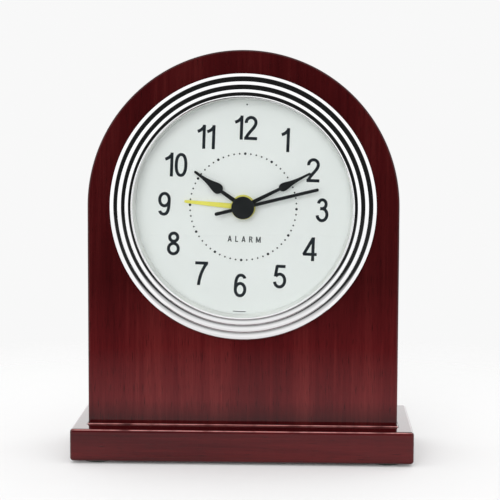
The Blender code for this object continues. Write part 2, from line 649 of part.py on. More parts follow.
def make_knob(name, at):
    """Fluted setting knob, hollow in front for its shaft."""
    flutes, radius, depth = 16, 5.8, 0.4
    points = []
    for flute in range(flutes):
        for share, drop in ((0.0, 0.0), (0.28, 0.0), (0.5, depth), (0.78, depth)):
            a = 2 * math.pi * (flute + share) / flutes
            points.append(((radius - drop) * math.cos(a), (radius - drop) * math.sin(a)))
    crown = [(x * 0.93, z * 0.93) for x, z in points]
    front, back = COVER_BACK + 0.6, 9.2
    body = solid([(points, front), (points, back - 0.4), (crown, back)])
    knob = wheel_object(name, body, at, BLACK_PLASTIC)
    cut(knob, rod((0.0, 0.0), (1.5, front - 1.0, 7.7), sides=16))


# ---------------------------------------------------------------- motor and electronics

def make_motor():
    """Stator plate round the rotor, and the coil on its core."""
    left, right, arm = -3.4, 16.8, 3.0
    body_bottom, body_top, arm_top = 8.0, 15.2, 24.0
    outline = [(left, body_bottom), (right, body_bottom), (right, arm_top), (right - arm, arm_top),
               (right - arm, body_top), (left + arm, body_top), (left + arm, arm_top), (left, arm_top)]
    add("stator", slab(outline, -0.8, 0.4, [circle(2.6, 24, ROTOR_AT)]), STEEL)

    core_bottom, core_top, core_front, core_back = 20.8, 22.4, -1.75, -1.1
    add("coil_core", box((left, right), (core_front, core_back), (core_bottom, core_top)), STEEL)

    middle = ((core_front + core_back) / 2, (core_bottom + core_top) / 2)
    window = rectangle(core_front - GAP, core_back + GAP, core_bottom - GAP, core_top + GAP)
    flange = rectangle(middle[0] - 2.5, middle[0] + 2.5, middle[1] - 2.5, middle[1] + 2.5)
    barrel = circle(1.7, 16, middle)
    start, end, thick = 0.2, 13.2, 0.8
    bobbin = solid([(flange, start), (flange, start + thick), (barrel, start + thick),
                    (barrel, end - thick), (flange, end - thick), (flange, end)], [window], axis="X")
    add("coil_bobbin", bobbin, WHITE_PLASTIC)
    turns = circle(2.4, 24, middle)
    winding = slab(turns, start + thick + GAP, end - thick - GAP, [circle(1.85, 24, middle)], "X")
    add("coil_winding", winding, COPPER)


def make_electronics():
    """Circuit board with its chip and crystal, the sounder and the alarm contact."""
    board_front, board_back = -0.2, 0.6
    add("circuit_board", box((18.6, 26.3), (board_front, board_back), (2.5, 21.5)), BOARD_GREEN)
    chip_front = board_back + GAP
    chip = box((20.2, 24.8), (chip_front, chip_front + 1.0), (9.0, 13.6), 0.2, 1)
    add("driver_chip", chip, BLACK_PLASTIC)
    can = circle(1.0, 16, (20.8, board_front - GAP - 1.0))
    add("quartz_crystal", slab(can, 14.0, 20.0, axis="Z"), STEEL)
    add("sounder_disc", slab(circle(9.0, 32, (-15.6, 14.2)), -3.6, -3.0), BRASS)
    leaf = [(-22.0, -9.6), (-4.5, -9.6), (-4.5, -9.3), (-21.7, -9.3), (-21.7, -6.0), (-22.0, -6.0)]
    add("alarm_contact", slab(leaf, 0.5, 3.0, axis="Z"), BRASS)


def make_battery():
    """AA cell with its two contacts, and the hinged door over it."""
    axis = (BATTERY_LEVEL, BATTERY_Z)
    shell, rim, nub = circle(BATTERY_RADIUS, 32, axis), circle(6.6, 32, axis), circle(2.7, 16, axis)
    rings = [(rim, -24.6), (shell, -24.2), (shell, 24.3), (rim, 24.7), (nub, 24.7), (nub, 25.8)]
    add("battery", solid(rings, axis="X"), CELL_JACKET)

    negative_plate = rectangle(BATTERY_LEVEL - 5, BATTERY_LEVEL + 5, BATTERY_Z - 5, BATTERY_Z + 5)
    wide, narrow = circle(3.6, 16, axis), circle(1.8, 16, axis)
    rings = [(negative_plate, -26.5), (negative_plate, -26.1), (wide, -26.1), (narrow, -24.9)]
    add("contact_negative", solid(rings, axis="X"), STEEL)
    positive_plate = rectangle(BATTERY_LEVEL - 4, BATTERY_LEVEL + 4, BATTERY_Z - 5, BATTERY_Z + 5)
    add("contact_positive", slab(positive_plate, 26.1, 26.5, axis="X"), STEEL)

    hinge = (0.0, DOOR_AXIS_LEVEL, DIAL_HEIGHT + DOOR_AXIS_Z)
    plate = box((-DOOR_HALF, DOOR_HALF), (-DOOR_BARREL, DOOR_BARREL), (0.0, DOOR_TOP - DOOR_AXIS_Z))
    door = add("battery_door", plate, GREY_PLASTIC, hinge)
    join(door, slab(circle(DOOR_BARREL, 16), -DOOR_HALF, DOOR_HALF, axis="X"))
    join(door, slab(circle(0.35, 8), -DOOR_HALF - 1.1, DOOR_HALF + 1.1, axis="X"))
    for row in range(3):
        lift = 9.0 + 1.4 * row
        join(door, box((-6.0, 6.0), (DOOR_BARREL - 0.3, DOOR_BARREL + 0.4), (lift, lift + 0.6)))


def make_switch():
    """Alarm switch: a slider with a flange inside the cover."""
    flange, stem, button = (2.0, 2.2), (1.1, 1.1), (1.9, 2.6)
    levels = [(flange, 1.0, COVER_FRONT - GAP), (stem, COVER_FRONT - GAP, COVER_BACK + GAP),
              (button, COVER_BACK + GAP, COVER_BACK + 1.9)]
    rings = []
    for (half_x, half_z), front, back in levels:
        outline = rectangle(-half_x, half_x, -half_z, half_z)
        rings += [(outline, front), (outline, back)]
    add("switch_slider", solid(rings), BLACK_PLASTIC, (SWITCH_X, 0.0, DIAL_HEIGHT + SWITCH_Z))


# ---------------------------------------------------------------- hands

def spade(shaft, rear, widest, half_width, neck, tip):
    """Half widths along a spade hand: a shaft, a leaf and a thin pointed tip."""
    return [(2.4, shaft), (rear, shaft), ((rear + widest) / 2, 0.8 * half_width), (widest, half_width),
            ((widest + neck) / 2, 0.55 * half_width + 0.2), (neck, 0.6), (tip - 0.5, 0.5), (tip, 0.0)]


def make_hands():
    """Alarm, hour, minute and second hands, and the cap over their hubs."""
    def flat_hand(name, outline, angle, bore, back, finish):
        blank = slab(clockwise(outline, angle), back - HAND_THICKNESS, back, [circle(bore, 16)])
        add(name, blank, finish)

    alarm_blade = [(4.3, 0.85), (13.0, 0.6), (22.0, 0.45), (22.7, 0.0)]
    flat_hand("alarm_hand", hand(4.6, alarm_blade), ALARM_ANGLE, 3.2, ALARM_HAND_BACK, YELLOW_PAINT)
    hour_blade = spade(0.65, 10.6, 12.1, 2.05, 19.0, 23.2)
    flat_hand("hour_hand", hand(3.4, hour_blade), HOUR_ANGLE, 2.25, HOUR_HAND_BACK, BLACK_PAINT)
    minute_blade = spade(0.6, 16.2, 17.6, 1.5, 24.4, 29.0)
    flat_hand("minute_hand", hand(3.0, minute_blade), MINUTE_ANGLE, 1.45, MINUTE_HAND_BACK, BLACK_PAINT)
    second_blade = [(1.7, 0.48), (29.5, 0.4), (29.8, 0.2)]
    second_tail = [(1.7, 0.48), (10.8, 0.48), (11.1, 0.25)]
    flat_hand("second_hand", hand(1.8, second_blade, second_tail), SECOND_ANGLE, 0.7,
              SECOND_HAND_BACK, BLACK_PAINT)

    rings = [(circle(CAP_RADIUS), CAP_BACK)]
    steps, edge = 4, 0.15
    for step in range(steps):
        a = math.pi / 2 * step / steps
        level = CAP_BACK - edge - (CAP_HEIGHT - edge) * math.sin(a)
        rings.append((circle(CAP_RADIUS * math.cos(a)), level))
    add("hand_cap", solid(list(reversed(rings))), BLACK_PAINT)


# ---------------------------------------------------------------- the clock

def main():
    for item in list(bpy.data.objects):
        bpy.data.objects.remove(item, do_unlink=True)
    make_case()
    make_insert()
    make_housing()
    make_train()
    make_motion_work()
    make_alarm_work()
    make_motor()
    make_electronics()
    make_battery()
    make_switch()
    make_hands()


main()
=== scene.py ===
"""Looks of the arch-top mantel clock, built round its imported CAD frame.

The pieces made here are modelled in millimetres, in the frame's own axes (+Z up, the dial faces
-Y), and scaled to metres when they are added. Levels are positions along the dial's axis.
"""

import json
import math

import bmesh
import bpy
from mathutils import Matrix, Vector
from mathutils.geometry import delaunay_2d_cdt


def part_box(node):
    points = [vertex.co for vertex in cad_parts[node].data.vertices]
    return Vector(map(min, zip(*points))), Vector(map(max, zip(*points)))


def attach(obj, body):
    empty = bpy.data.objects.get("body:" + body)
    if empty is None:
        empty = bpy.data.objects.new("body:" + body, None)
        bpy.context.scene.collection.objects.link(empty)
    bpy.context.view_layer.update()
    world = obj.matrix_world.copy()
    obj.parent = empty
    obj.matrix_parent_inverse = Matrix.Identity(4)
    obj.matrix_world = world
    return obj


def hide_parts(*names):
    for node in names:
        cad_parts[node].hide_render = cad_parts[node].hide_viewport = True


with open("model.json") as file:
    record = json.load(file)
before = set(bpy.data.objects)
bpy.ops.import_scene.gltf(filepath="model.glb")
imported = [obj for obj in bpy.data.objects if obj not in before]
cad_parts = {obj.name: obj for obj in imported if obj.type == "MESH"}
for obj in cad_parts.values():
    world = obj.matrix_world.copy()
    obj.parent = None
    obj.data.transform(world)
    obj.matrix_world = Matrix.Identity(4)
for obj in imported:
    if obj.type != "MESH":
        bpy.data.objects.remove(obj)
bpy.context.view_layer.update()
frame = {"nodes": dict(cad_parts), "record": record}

MM = 0.001
CREASE = math.radians(30.0)  # edges sharper than this stay sharp


def span(node):
    """Lowest and highest corner of a CAD node, in millimetres."""
    low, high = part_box(node)
    return low / MM, high / MM


# Lengths are in millimetres, unless the comment names metres.
HAIRLINE = 0.02  # gap between two pieces that rest on each other
CLEARANCE = 0.05  # room round a piece in its seat

# Case
BLOCK_LOW, BLOCK_HIGH = span("case_body")
BASE_LOW, BASE_HIGH = span("base_plinth")
BLOCK_RADIUS = BLOCK_HIGH.x
DIAL_Z = BLOCK_HIGH.z - BLOCK_RADIUS
BLOCK_FOOT = BASE_HIGH.z + HAIRLINE
BLOCK_ROUND = 0.9
BORE_RADIUS = 45.5
BORE_ROUND = 0.7
BASE_ROUND = 1.2
COVE = 0.7  # hollow fillet round the block's foot
ARC_STEPS = 5  # faces across a rounded edge of the wood
FIT = 0.3  # clearance round a screw's head or a dowel
SCREW_HEAD_SINK = 3.4
SCREW_HOLE_TOP = 36.0
SCREW_HOLE_BLOCK = 2.2
SCREW_HOLE_BASE = 2.3
OVERSHOOT = 2.0  # how far a boring tool reaches past the wood

# Lacquer
FOOT_PAINTED_LIGHT = (0.070, 0.026)  # metres; painted light: the veneer is painted paler from the first height down to the second
FOOT_PAINTED_SHADE = (0.015, 0.023)  # metres; painted shade: the veneer is painted darker again from the second height down to the first
LACQUER_IOR = 1.33
# Painted highlight: a pale red line painted along the foot's cove and the base's top front edge, where
# the coat IOR is raised too
HIGHLIGHT_EDGE_IOR = 2.2
HIGHLIGHT_EDGE_LEAN = 0.5  # how far the normal of a face with the painted highlight leans forward and up
PAINTED_HIGHLIGHT_TONE = (0.40, 0.10, 0.09)

# Grain map
FACE_ON = 0.72  # least part of a normal along an axis for a face that looks along it
# Shifts that give each side of the wood its own figure
BACK_SHIFT = 300.0
RIM_SHIFT = 150.0
BASE_END_SHIFT = (90.0, 200.0)  # across the grain, and along it to either side
BASE_FRONT_SHIFT = 40.0
BASE_TOP_SHIFT = 120.0

CELL_BAND = (0.0118, 0.0122)  # metres along the cell, where its sleeve ends

# Insert
BEZEL_END = span("bezel")[1].y
# Each rib of the bezel: outer radius, inner radius, crest level
RIBS = ((51.2, 48.1, -21.2), (48.1, 45.1, -22.5), (45.1, 42.7, -23.7), (42.7, 42.2, -24.5))
RIB_GROOVE = 0.2
RIB_RISE = 1.3  # of the outermost rib
RIB_STEPS = 14
BEZEL_LIP = 42.0
BEZEL_LIP_ROUND = 0.2
BEZEL_BORE = 43.5
BEZEL_SKIRT = 44.9
BEZEL_BACK = BLOCK_LOW.y - HAIRLINE
LENS_LOW, LENS_HIGH = span("lens")
DIAL_LOW, DIAL_HIGH = span("dial")
DIAL_HOLE = 3.4
RING_LOW, RING_HIGH = span("reflector_ring")
RING_OPENING = 41.4
RING_SLOPE = 1.0  # how much wider the reflector ring is at the lens than at the dial
CUP_LOW, CUP_HIGH = span("insert_cup")
CUP_WALL = 1.2
CUP_WEB = 1.3
CUP_FILLET = 0.8
CUP_HOLE = 4.4
BOSS_RADIUS = 2.4
BOSS_BORE = 1.1
BOSS_BACK = -11.9
BOSS_SINK = 0.2
GRIP_LOW, GRIP_HIGH = span("grip_ring")

# Dial print
PRINT_TURN = 2.0  # degrees clockwise that the print is turned in its insert
PRINT_DEPTH = 0.03
PRINT_SINK = 0.01
NUMERAL_HEIGHT = 9.2
NUMERAL_STROKE = 1.2
NUMERAL_RING = 30.4
NUMERAL_SPACING = 0.07
TRACK_RING = 20.5
HOUR_DOT = 0.5
MINUTE_DOT = 0.33
MARK_RING = (40.4, 40.7)  # radii of the short arc at the dial's foot
MARK_SPAN = 7.0  # degrees, about six o'clock
TOP_DOT = 39.3  # radius of the dot above the twelve
WORD_HEIGHT = 2.3
WORD_STROKE = 0.42
WORD_SPACING = 0.55
WORD_PLACE = (0.85, -12.4)

# Hands
CAP_LOW, CAP_HIGH = span("hand_cap")
HAND_BEVEL = 0.06

# Setting knobs
KNOB_BORE = 1.5
KNOB_BORE_DEPTH = 3.3
KNOB_DISH = ((1.7, 0.0), (2.0, 0.1), (2.4, 0.45))  # distance in from the rim, and depth
KNOB_PIP = 1.0
KNOB_PIP_DEPTH = 0.6

# CAD pieces that stay in view
MOULDED_ROUND = 0.15
WELD_REACH = 0.000001  # metres

# Camera
CAMERA_PLACE = (0.02394, -0.66047, 0.14607)  # metres
CAMERA_TURN = (1.891, -5.686, 0.222)  # yaw, pitch and roll, in degrees
CAMERA_LENS = 121.0  # focal length over a sensor 36 wide

# Studio
FLOOR_RADIUS = 1.0  # metres
PAPER = (0.92, 0.92, 0.92)
FLOOR_FADE = (0.10, 0.30)  # metres from the clock over which the mirrored floor goes dark
UNLIT = 0.02  # what is left there of the paper's tone
FLOOR_SWEEP = (0.05, 0.30)  # metres from the clock over which the floor melts into the backdrop
BACKDROP = 0.94
SKY = (0.80, 1.12)  # brightness low down and overhead
SKY_RISE = (-0.2, 1.0)  # a direction's height over which it brightens
TENT = 1.15
TENT_BEHIND = 1.7  # how many times brighter the tent is behind the clock
TENT_RISE = (0.1, 0.7)  # how far back a direction points while the tent brightens
OPENING = 0.012
OPENING_AIM = (0.0, -1.0, 0.05)
# Cosines of the angles off its aim where the opening's edge starts and ends
OPENING_EDGE = math.cos(math.radians(36.0)), math.cos(math.radians(31.0))
KEY_STRENGTH = 2.2
KEY_SPREAD = 45.0  # degrees
KEY_AIM = (0.12, 1.0, -0.14)


# ---- node helpers

class Tree:
    """A node tree, with short ways to add nodes to it."""

    def __init__(self, owner):
        owner.use_nodes = True
        self.nodes = owner.node_tree.nodes
        self.links = owner.node_tree.links

    def feed(self, socket, value):
        """Links or sets one input; a colour of three parts is made opaque."""
        if isinstance(value, bpy.types.NodeSocket):
            self.links.new(value, socket)
        elif socket.type == "RGBA":
            socket.default_value = (*value, 1.0)
        else:
            socket.default_value = value

    def add(self, kind, *inputs, **settings):
        """New node with its first INPUTS in order; small-letter SETTINGS are the node's own."""
        node = self.nodes.new("ShaderNode" + kind)
        for label, value in settings.items():
            if label.islower():
                setattr(node, label, value)
        for socket, value in zip(node.inputs, inputs):
            self.feed(socket, value)
        for label, value in settings.items():
            if not label.islower():
                self.feed(node.inputs[label], value)
        return node

    def times(self, first, second):
        return self.add("Math", first, second, operation="MULTIPLY").outputs[0]

    def remap(self, value, low, high, to_low=0.0, to_high=1.0, curve="LINEAR"):
        return self.add("MapRange", value, low, high, to_low, to_high,
                        interpolation_type=curve).outputs["Result"]

    def axes(self, vector):
        """The X, Y and Z of a vector."""
        return self.add("SeparateXYZ", vector).outputs


class Shader(Tree):
    """A material's node tree with one Principled look."""

    def __init__(self, name, colour, roughness, metallic=0.0, **inputs):
        self.material = bpy.data.materials.new(name)
        super().__init__(self.material)
        self.surface = self.nodes["Principled BSDF"]
        self.finish(base_color=colour, roughness=roughness, metallic=metallic, **inputs)
        self.place = self.add("TexCoord").outputs["Object"]

    def finish(self, **inputs):
        """Sets the surface's INPUTS, named in small letters, and returns the material."""
        sockets = {socket.name.lower().replace(" ", "_"): socket for socket in self.surface.inputs}
        for label, value in inputs.items():
            self.feed(sockets[label], value)
        return self.material

    def stretch(self, scale, place=None):
        """Texture place multiplied by SCALE, per metre; one number stands for all three axes."""
        scale = scale if isinstance(scale, tuple) else (scale, scale, scale)
        return self.add("Mapping", Vector=place or self.place, Scale=scale).outputs["Vector"]

    def noise(self, scale, detail=2.0, place=None, roughness=0.5, distortion=0.0):
        node = self.add("TexNoise", Vector=self.stretch(scale, place), Scale=1.0, Detail=detail,
                        Roughness=roughness, Distortion=distortion)
        return node.outputs["Fac"]

    def ramp(self, value, *stops):
        """Colours from STOPS, each a position and a colour."""
        node = self.add("ValToRGB", Fac=value)
        ends = node.color_ramp.elements
        while len(ends) < len(stops):
            ends.new(0.5)
        for end, (position, colour) in zip(ends, stops):
            end.position = position
            end.color = (*colour, 1.0)
        return node.outputs["Color"]

    def mix(self, share, first, second):
        """The colour between FIRST and SECOND."""
        node = self.add("Mix", share, data_type="RGBA")
        self.feed(node.inputs[6], first)
        self.feed(node.inputs[7], second)
        return node.outputs[2]

    def bump(self, height, distance, strength=1.0):
        node = self.add("Bump", Height=height, Distance=distance, Strength=strength)
        return node.outputs["Normal"]

    def see_through(self, share, colour=(1.0, 1.0, 1.0)):
        """Replaces SHARE of the surface with plain transparency of COLOUR."""
        clear = self.add("BsdfTransparent", Color=colour).outputs["BSDF"]
        passing = self.add("MixShader", share, self.surface.outputs["BSDF"], clear)
        self.links.new(passing.outputs["Shader"], self.nodes["Material Output"].inputs["Surface"])


def tinted(colour, factor):
    return tuple(min(1.0, part * factor) for part in colour)


# ---- materials

def lacquered_wood(name, tones, painted_foot_light, foot_shade):
    """Mahogany veneer under gloss lacquer. The grain runs along the second axis of map "grain".

    TONES are its dark, middle and pale colours and its pores. The first foot number is how many
    times paler the veneer is painted low on the case than at its top, a painted light, and the
    second what is left of that right at the foot, a painted shade. Faces that map "edge" marks get
    a painted highlight: a pale line in the colour, with a higher coat IOR.
    """
    dark, middle, light, pore = tones
    look = Shader(name, middle, 0.38, specular_ior_level=0.0, coat_weight=1.0,
                  coat_roughness=0.03)
    place = look.add("UVMap", uv_map="grain").outputs["UV"]
    bands = look.noise((0.07, 0.006, 1.0), 3.0, place, 0.55, 0.6)
    streaks = look.noise((0.75, 0.018, 1.0), 4.0, place, 0.6, 0.3)
    fibres = look.noise((4.5, 0.10, 1.0), 2.0, place)
    pores = look.noise((5.5, 0.16, 1.0), 1.0, place, 0.4)
    figure = look.add("Math", streaks, 0.55, bands, operation="MULTIPLY_ADD").outputs[0]
    share = look.remap(figure, 0.52, 1.02)
    colour = look.ramp(share, (0.0, dark), (0.5, middle), (1.0, light))
    # Painted light and shade: the veneer is painted paler low on the case and darker again right at its
    # foot
    height = look.axes(look.place)["Z"]
    paler = look.remap(height, *FOOT_PAINTED_LIGHT, 1.0, painted_foot_light)
    painted_light_and_shade = look.times(paler, look.remap(height, *FOOT_PAINTED_SHADE, foot_shade, 1.0))
    shade = look.times(painted_light_and_shade, look.remap(fibres, 0.3, 0.7, 0.88, 1.07))
    shaded = look.add("VectorMath", colour, operation="SCALE", Scale=shade).outputs["Vector"]
    veneer_with_painted_light = look.mix(look.remap(pores, 0.64, 0.76), shaded, pore)
    sunken = look.remap(pores, 0.64, 0.76, 1.0, 0.0)
    # Painted highlight: a broken pale line on the faces that map "edge" marks, with a higher coat IOR
    # there
    edge = look.add("UVMap", uv_map="edge").outputs["UV"]
    gaps = look.remap(look.noise((120.0, 1.0, 1.0), 3.0), 0.36, 0.52, 0.15, 1.0)
    painted_highlight = look.times(look.axes(edge)["X"], gaps)
    return look.finish(base_color=look.mix(painted_highlight, veneer_with_painted_light, PAINTED_HIGHLIGHT_TONE),
                       normal=look.bump(sunken, 0.00004, 0.5),
                       coat_normal=look.bump(look.noise(60.0, 1.0), 0.0004, 0.06),
                       coat_ior=look.remap(painted_highlight, 0.0, 1.0, LACQUER_IOR, HIGHLIGHT_EDGE_IOR),
                       roughness=look.remap(streaks, 0.3, 0.7, 0.34, 0.46))


def polished(name, colour, rough_low, rough_high):
    """Bright plated or polished metal, with faint polishing marks."""
    look = Shader(name, colour, rough_low, 1.0)
    marks = look.noise(900.0, 3.0)
    wide = look.noise(40.0, 1.0)
    return look.finish(roughness=look.remap(marks, 0.35, 0.7, rough_low, rough_high),
                       normal=look.bump(wide, 0.0005, 0.02))


def metal(name, colour, roughness):
    """Plain metal with drawn or rolled marks and a little tarnish."""
    look = Shader(name, colour, roughness, 1.0)
    marks = look.noise((1200.0, 1200.0, 120.0), 3.0)
    cloud = look.noise(160.0, 3.0)
    tone = look.mix(look.remap(cloud, 0.35, 0.7), colour, tinted(colour, 0.72))
    rough = look.remap(marks, 0.3, 0.7, roughness * 0.8, roughness * 1.35)
    return look.finish(base_color=tone, normal=look.bump(marks, 0.00003, 0.5), roughness=rough)


def plastic(name, colour, roughness, texture=2600.0, depth=0.00003, **inputs):
    """Moulded plastic: fine spark texture, faint shade differences."""
    look = Shader(name, colour, roughness, **inputs)
    pebble = look.noise(texture, 2.0)
    cloud = look.noise(90.0, 2.0)
    tone = look.mix(look.remap(cloud, 0.3, 0.7), tinted(colour, 0.92), tinted(colour, 1.08))
    rough = look.remap(pebble, 0.3, 0.7, roughness * 0.88, roughness * 1.12)
    return look.finish(base_color=tone, normal=look.bump(pebble, depth, 0.6), roughness=rough)


def dial_paint():
    """Pale satin metallic paint of the dial."""
    colour = (0.795, 0.82, 0.81)
    look = Shader("dial_white", colour, 0.42, specular_ior_level=0.4)
    cloud = look.noise(45.0, 2.0)
    flake = look.noise(5200.0, 1.0)
    tone = look.mix(look.remap(cloud, 0.3, 0.7), tinted(colour, 0.985), tinted(colour, 1.012))
    return look.finish(base_color=tone, normal=look.bump(flake, 0.000012, 0.35),
                       roughness=look.remap(flake, 0.3, 0.7, 0.38, 0.5))


def ink(name, colour):
    look = Shader(name, colour, 0.5)
    grain = look.noise(1800.0, 2.0)
    tone = look.mix(look.remap(grain, 0.35, 0.65), tinted(colour, 0.85), tinted(colour, 1.15))
    return look.finish(base_color=tone, roughness=look.remap(grain, 0.3, 0.7, 0.45, 0.6))


def clear_glass():
    """Clear lens that lets light through to the dial."""
    look = Shader("lens_glass", (0.985, 0.995, 0.99), 0.0, transmission_weight=1.0, ior=1.45)
    look.see_through(look.add("LightPath").outputs["Is Shadow Ray"], (0.97, 0.98, 0.975))
    smear = look.noise(30.0, 3.0)
    return look.finish(roughness=look.remap(smear, 0.45, 0.75, 0.0, 0.02))


def felt():
    colour = (0.012, 0.022, 0.016)
    look = Shader("felt", colour, 0.95, sheen_weight=0.5, sheen_roughness=0.6)
    fibre = look.noise(3000.0, 4.0, distortion=1.5)
    tone = look.mix(look.remap(fibre, 0.3, 0.7), tinted(colour, 0.5), tinted(colour, 1.7))
    return look.finish(base_color=tone, normal=look.bump(fibre, 0.0002, 0.8))


def raw_beech():
    look = Shader("beech", (0.55, 0.36, 0.2), 0.6)
    rings = look.noise((700.0, 700.0, 30.0), 4.0)
    flecks = look.noise((2500.0, 2500.0, 200.0), 2.0)
    wood = look.ramp(rings, (0.3, (0.42, 0.26, 0.13)), (0.7, (0.62, 0.43, 0.26)))
    tone = look.mix(look.remap(flecks, 0.58, 0.66), wood, (0.26, 0.14, 0.06))
    return look.finish(base_color=tone, normal=look.bump(rings, 0.0001, 0.5))


def wound_copper():
    """Enamelled wire: close turns across the coil's length."""
    look = Shader("copper_wire", (0.62, 0.25, 0.11), 0.32, 1.0)
    turns = look.add("TexWave", wave_type="BANDS", bands_direction="X",
                     Vector=look.stretch(1.0), Scale=900.0).outputs["Fac"]
    cloud = look.noise(300.0, 2.0)
    wire = look.ramp(turns, (0.0, (0.20, 0.06, 0.02)), (0.6, (0.66, 0.27, 0.12)))
    tone = look.mix(look.remap(cloud, 0.4, 0.7, 0.0, 0.4), wire, (0.5, 0.3, 0.16))
    return look.finish(base_color=tone, normal=look.bump(turns, 0.0001, 0.8))


def board():
    """Green circuit board with tracks under its mask."""
    look = Shader("board_green", (0.02, 0.13, 0.06), 0.42, coat_weight=0.3, coat_roughness=0.2)
    tracks = look.add("TexVoronoi", distance="MANHATTAN", Vector=look.stretch(420.0), Scale=1.0)
    copper = look.remap(tracks.outputs["Distance"], 0.32, 0.38)
    tone = look.mix(copper, (0.012, 0.10, 0.045), (0.035, 0.19, 0.085))
    return look.finish(base_color=tone, normal=look.bump(copper, 0.00004, 0.5))


def cell_jacket():
    """Printed steel jacket of the cell: a dark sleeve with a pale band."""
    look = Shader("cell_jacket", (0.05, 0.09, 0.22), 0.3, 0.3, coat_weight=0.6, coat_roughness=0.1)
    band = look.remap(look.axes(look.place)["X"], *CELL_BAND)
    wear = look.noise(500.0, 3.0)
    sleeve = look.mix(look.remap(wear, 0.35, 0.7), (0.035, 0.07, 0.18), (0.06, 0.11, 0.26))
    return look.finish(base_color=look.mix(band, sleeve, (0.62, 0.62, 0.6)),
                       roughness=look.remap(wear, 0.3, 0.7, 0.25, 0.4))


# Dark, middle and pale wood, and its pores
BLOCK_TONES = ((0.022, 0.002, 0.0025), (0.033, 0.003, 0.0035), (0.049, 0.006, 0.006),
               (0.010, 0.002, 0.002))
BASE_TONES = ((0.026, 0.002, 0.003), (0.052, 0.004, 0.005), (0.078, 0.006, 0.007),
              (0.014, 0.002, 0.003))

FINISHES = {
    "case_lacquer": lacquered_wood("case_lacquer", BLOCK_TONES, painted_foot_light=2.45, foot_shade=0.45),
    "base_lacquer": lacquered_wood("base_lacquer", BASE_TONES, painted_foot_light=1.0, foot_shade=1.0),
    "chrome": polished("chrome", (0.90, 0.90, 0.91), 0.03, 0.07),
    "lens_glass": clear_glass(),
    "dial_white": dial_paint(),
    "white_plastic": plastic("white_plastic", (0.86, 0.87, 0.85), 0.4),
    "black_plastic": plastic("black_plastic", (0.018, 0.018, 0.02), 0.42),
    "grey_plastic": plastic("grey_plastic", (0.055, 0.056, 0.06), 0.48, 1800.0, 0.00006),
    "black_paint": plastic("black_paint", (0.015, 0.0165, 0.018), 0.34, 4200.0, 0.00001,
                           specular_ior_level=0.3),
    "yellow_paint": plastic("yellow_paint", (0.76, 0.71, 0.12), 0.42, 4200.0, 0.00001),
    "gear_plastic": plastic("gear_plastic", (0.70, 0.66, 0.55), 0.45),
    "steel": metal("steel", (0.56, 0.56, 0.57), 0.28),
    "brass": metal("brass", (0.78, 0.57, 0.24), 0.25),
    "copper_wire": wound_copper(),
    "board_green": board(),
    "cell_jacket": cell_jacket(),
    "beech": raw_beech(),
    "felt": felt(),
    "rubber": plastic("rubber", (0.025, 0.025, 0.026), 0.75, 1500.0, 0.0001),
}
NUMERAL_INK = ink("numeral_ink", (0.008, 0.012, 0.017))
WORD_INK = ink("word_ink", (0.055, 0.062, 0.066))


# ---- mesh helpers

def as_object(mesh, name):
    data = bpy.data.meshes.new(name)
    mesh.to_mesh(data)
    mesh.free()
    item = bpy.data.objects.new(name, data)
    bpy.context.scene.collection.objects.link(item)
    return item


def add(name, mesh, slot, body, *nodes, ink=None):
    """Piece NAME from a mesh in millimetres: it rides on BODY and stands for the CAD NODES."""
    bmesh.ops.recalc_face_normals(mesh, faces=mesh.faces)
    mesh.transform(Matrix.Scale(MM, 4))
    piece = as_object(mesh, name)
    piece.data.shade_smooth()
    piece.data.set_sharp_from_angle(angle=CREASE)
    piece.data.materials.append(ink or FINISHES[slot])
    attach(piece, body)
    if nodes:
        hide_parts(*nodes)
    return piece


def even_flats(piece):
    """Keeps large flat faces flat in reflections beside their rounded edges."""
    flats = piece.modifiers.new("even_flats", "WEIGHTED_NORMAL")
    flats.keep_sharp = True


def ease(piece, width, angle=35.0):
    """Small round on a piece's sharp edges; WIDTH in millimetres."""
    bevel = piece.modifiers.new("eased_edges", "BEVEL")
    bevel.width = width * MM
    bevel.segments = 2
    bevel.limit_method = "ANGLE"
    bevel.angle_limit = math.radians(angle)
    bevel.harden_normals = True


def spread(start, end, steps):
    """Even values from START to END, both included."""
    return [start + (end - start) * step / steps for step in range(steps + 1)]


def quarter_turns(steps):
    """Angles from nought to a right angle, in radians."""
    return spread(0.0, math.pi / 2, steps)


def polar(radius, angle, centre=(0.0, 0.0)):
    """Point in X and Z at RADIUS and ANGLE about CENTRE, counter-clockwise from the right."""
    return centre[0] + radius * math.cos(angle), centre[1] + radius * math.sin(angle)


def circle(radius, sides, centre=(0.0, 0.0)):
    """Points round a circle, counter-clockwise seen from the front."""
    return [polar(radius, a, centre) for a in spread(0.0, 2 * math.pi, sides)[:-1]]


def quarter(centre, radius, start):
    """Profile points round a quarter circle from START degrees, counter-clockwise."""
    return [polar(radius, math.radians(start) + a, centre) for a in quarter_turns(4)]


def rounded(radius, steps):
    """Points round a corner, each its distance in from the corner's two sides."""
    return [(radius * (1 - math.sin(a)), radius * (1 - math.cos(a))) for a in quarter_turns(steps)]


def ring_of(mesh, outline, level):
    """Vertices of an outline in X and Z about the dial's axis, at LEVEL."""
    return [mesh.verts.new((x, level, DIAL_Z + z)) for x, z in outline]


def bridge(mesh, *rings):
    """Faces between each ring of corners and the next one, which has as many."""
    for near, far in zip(rings, rings[1:]):
        for i in range(len(near)):
            after = (i + 1) % len(near)
            mesh.faces.new((near[i], near[after], far[after], far[i]))


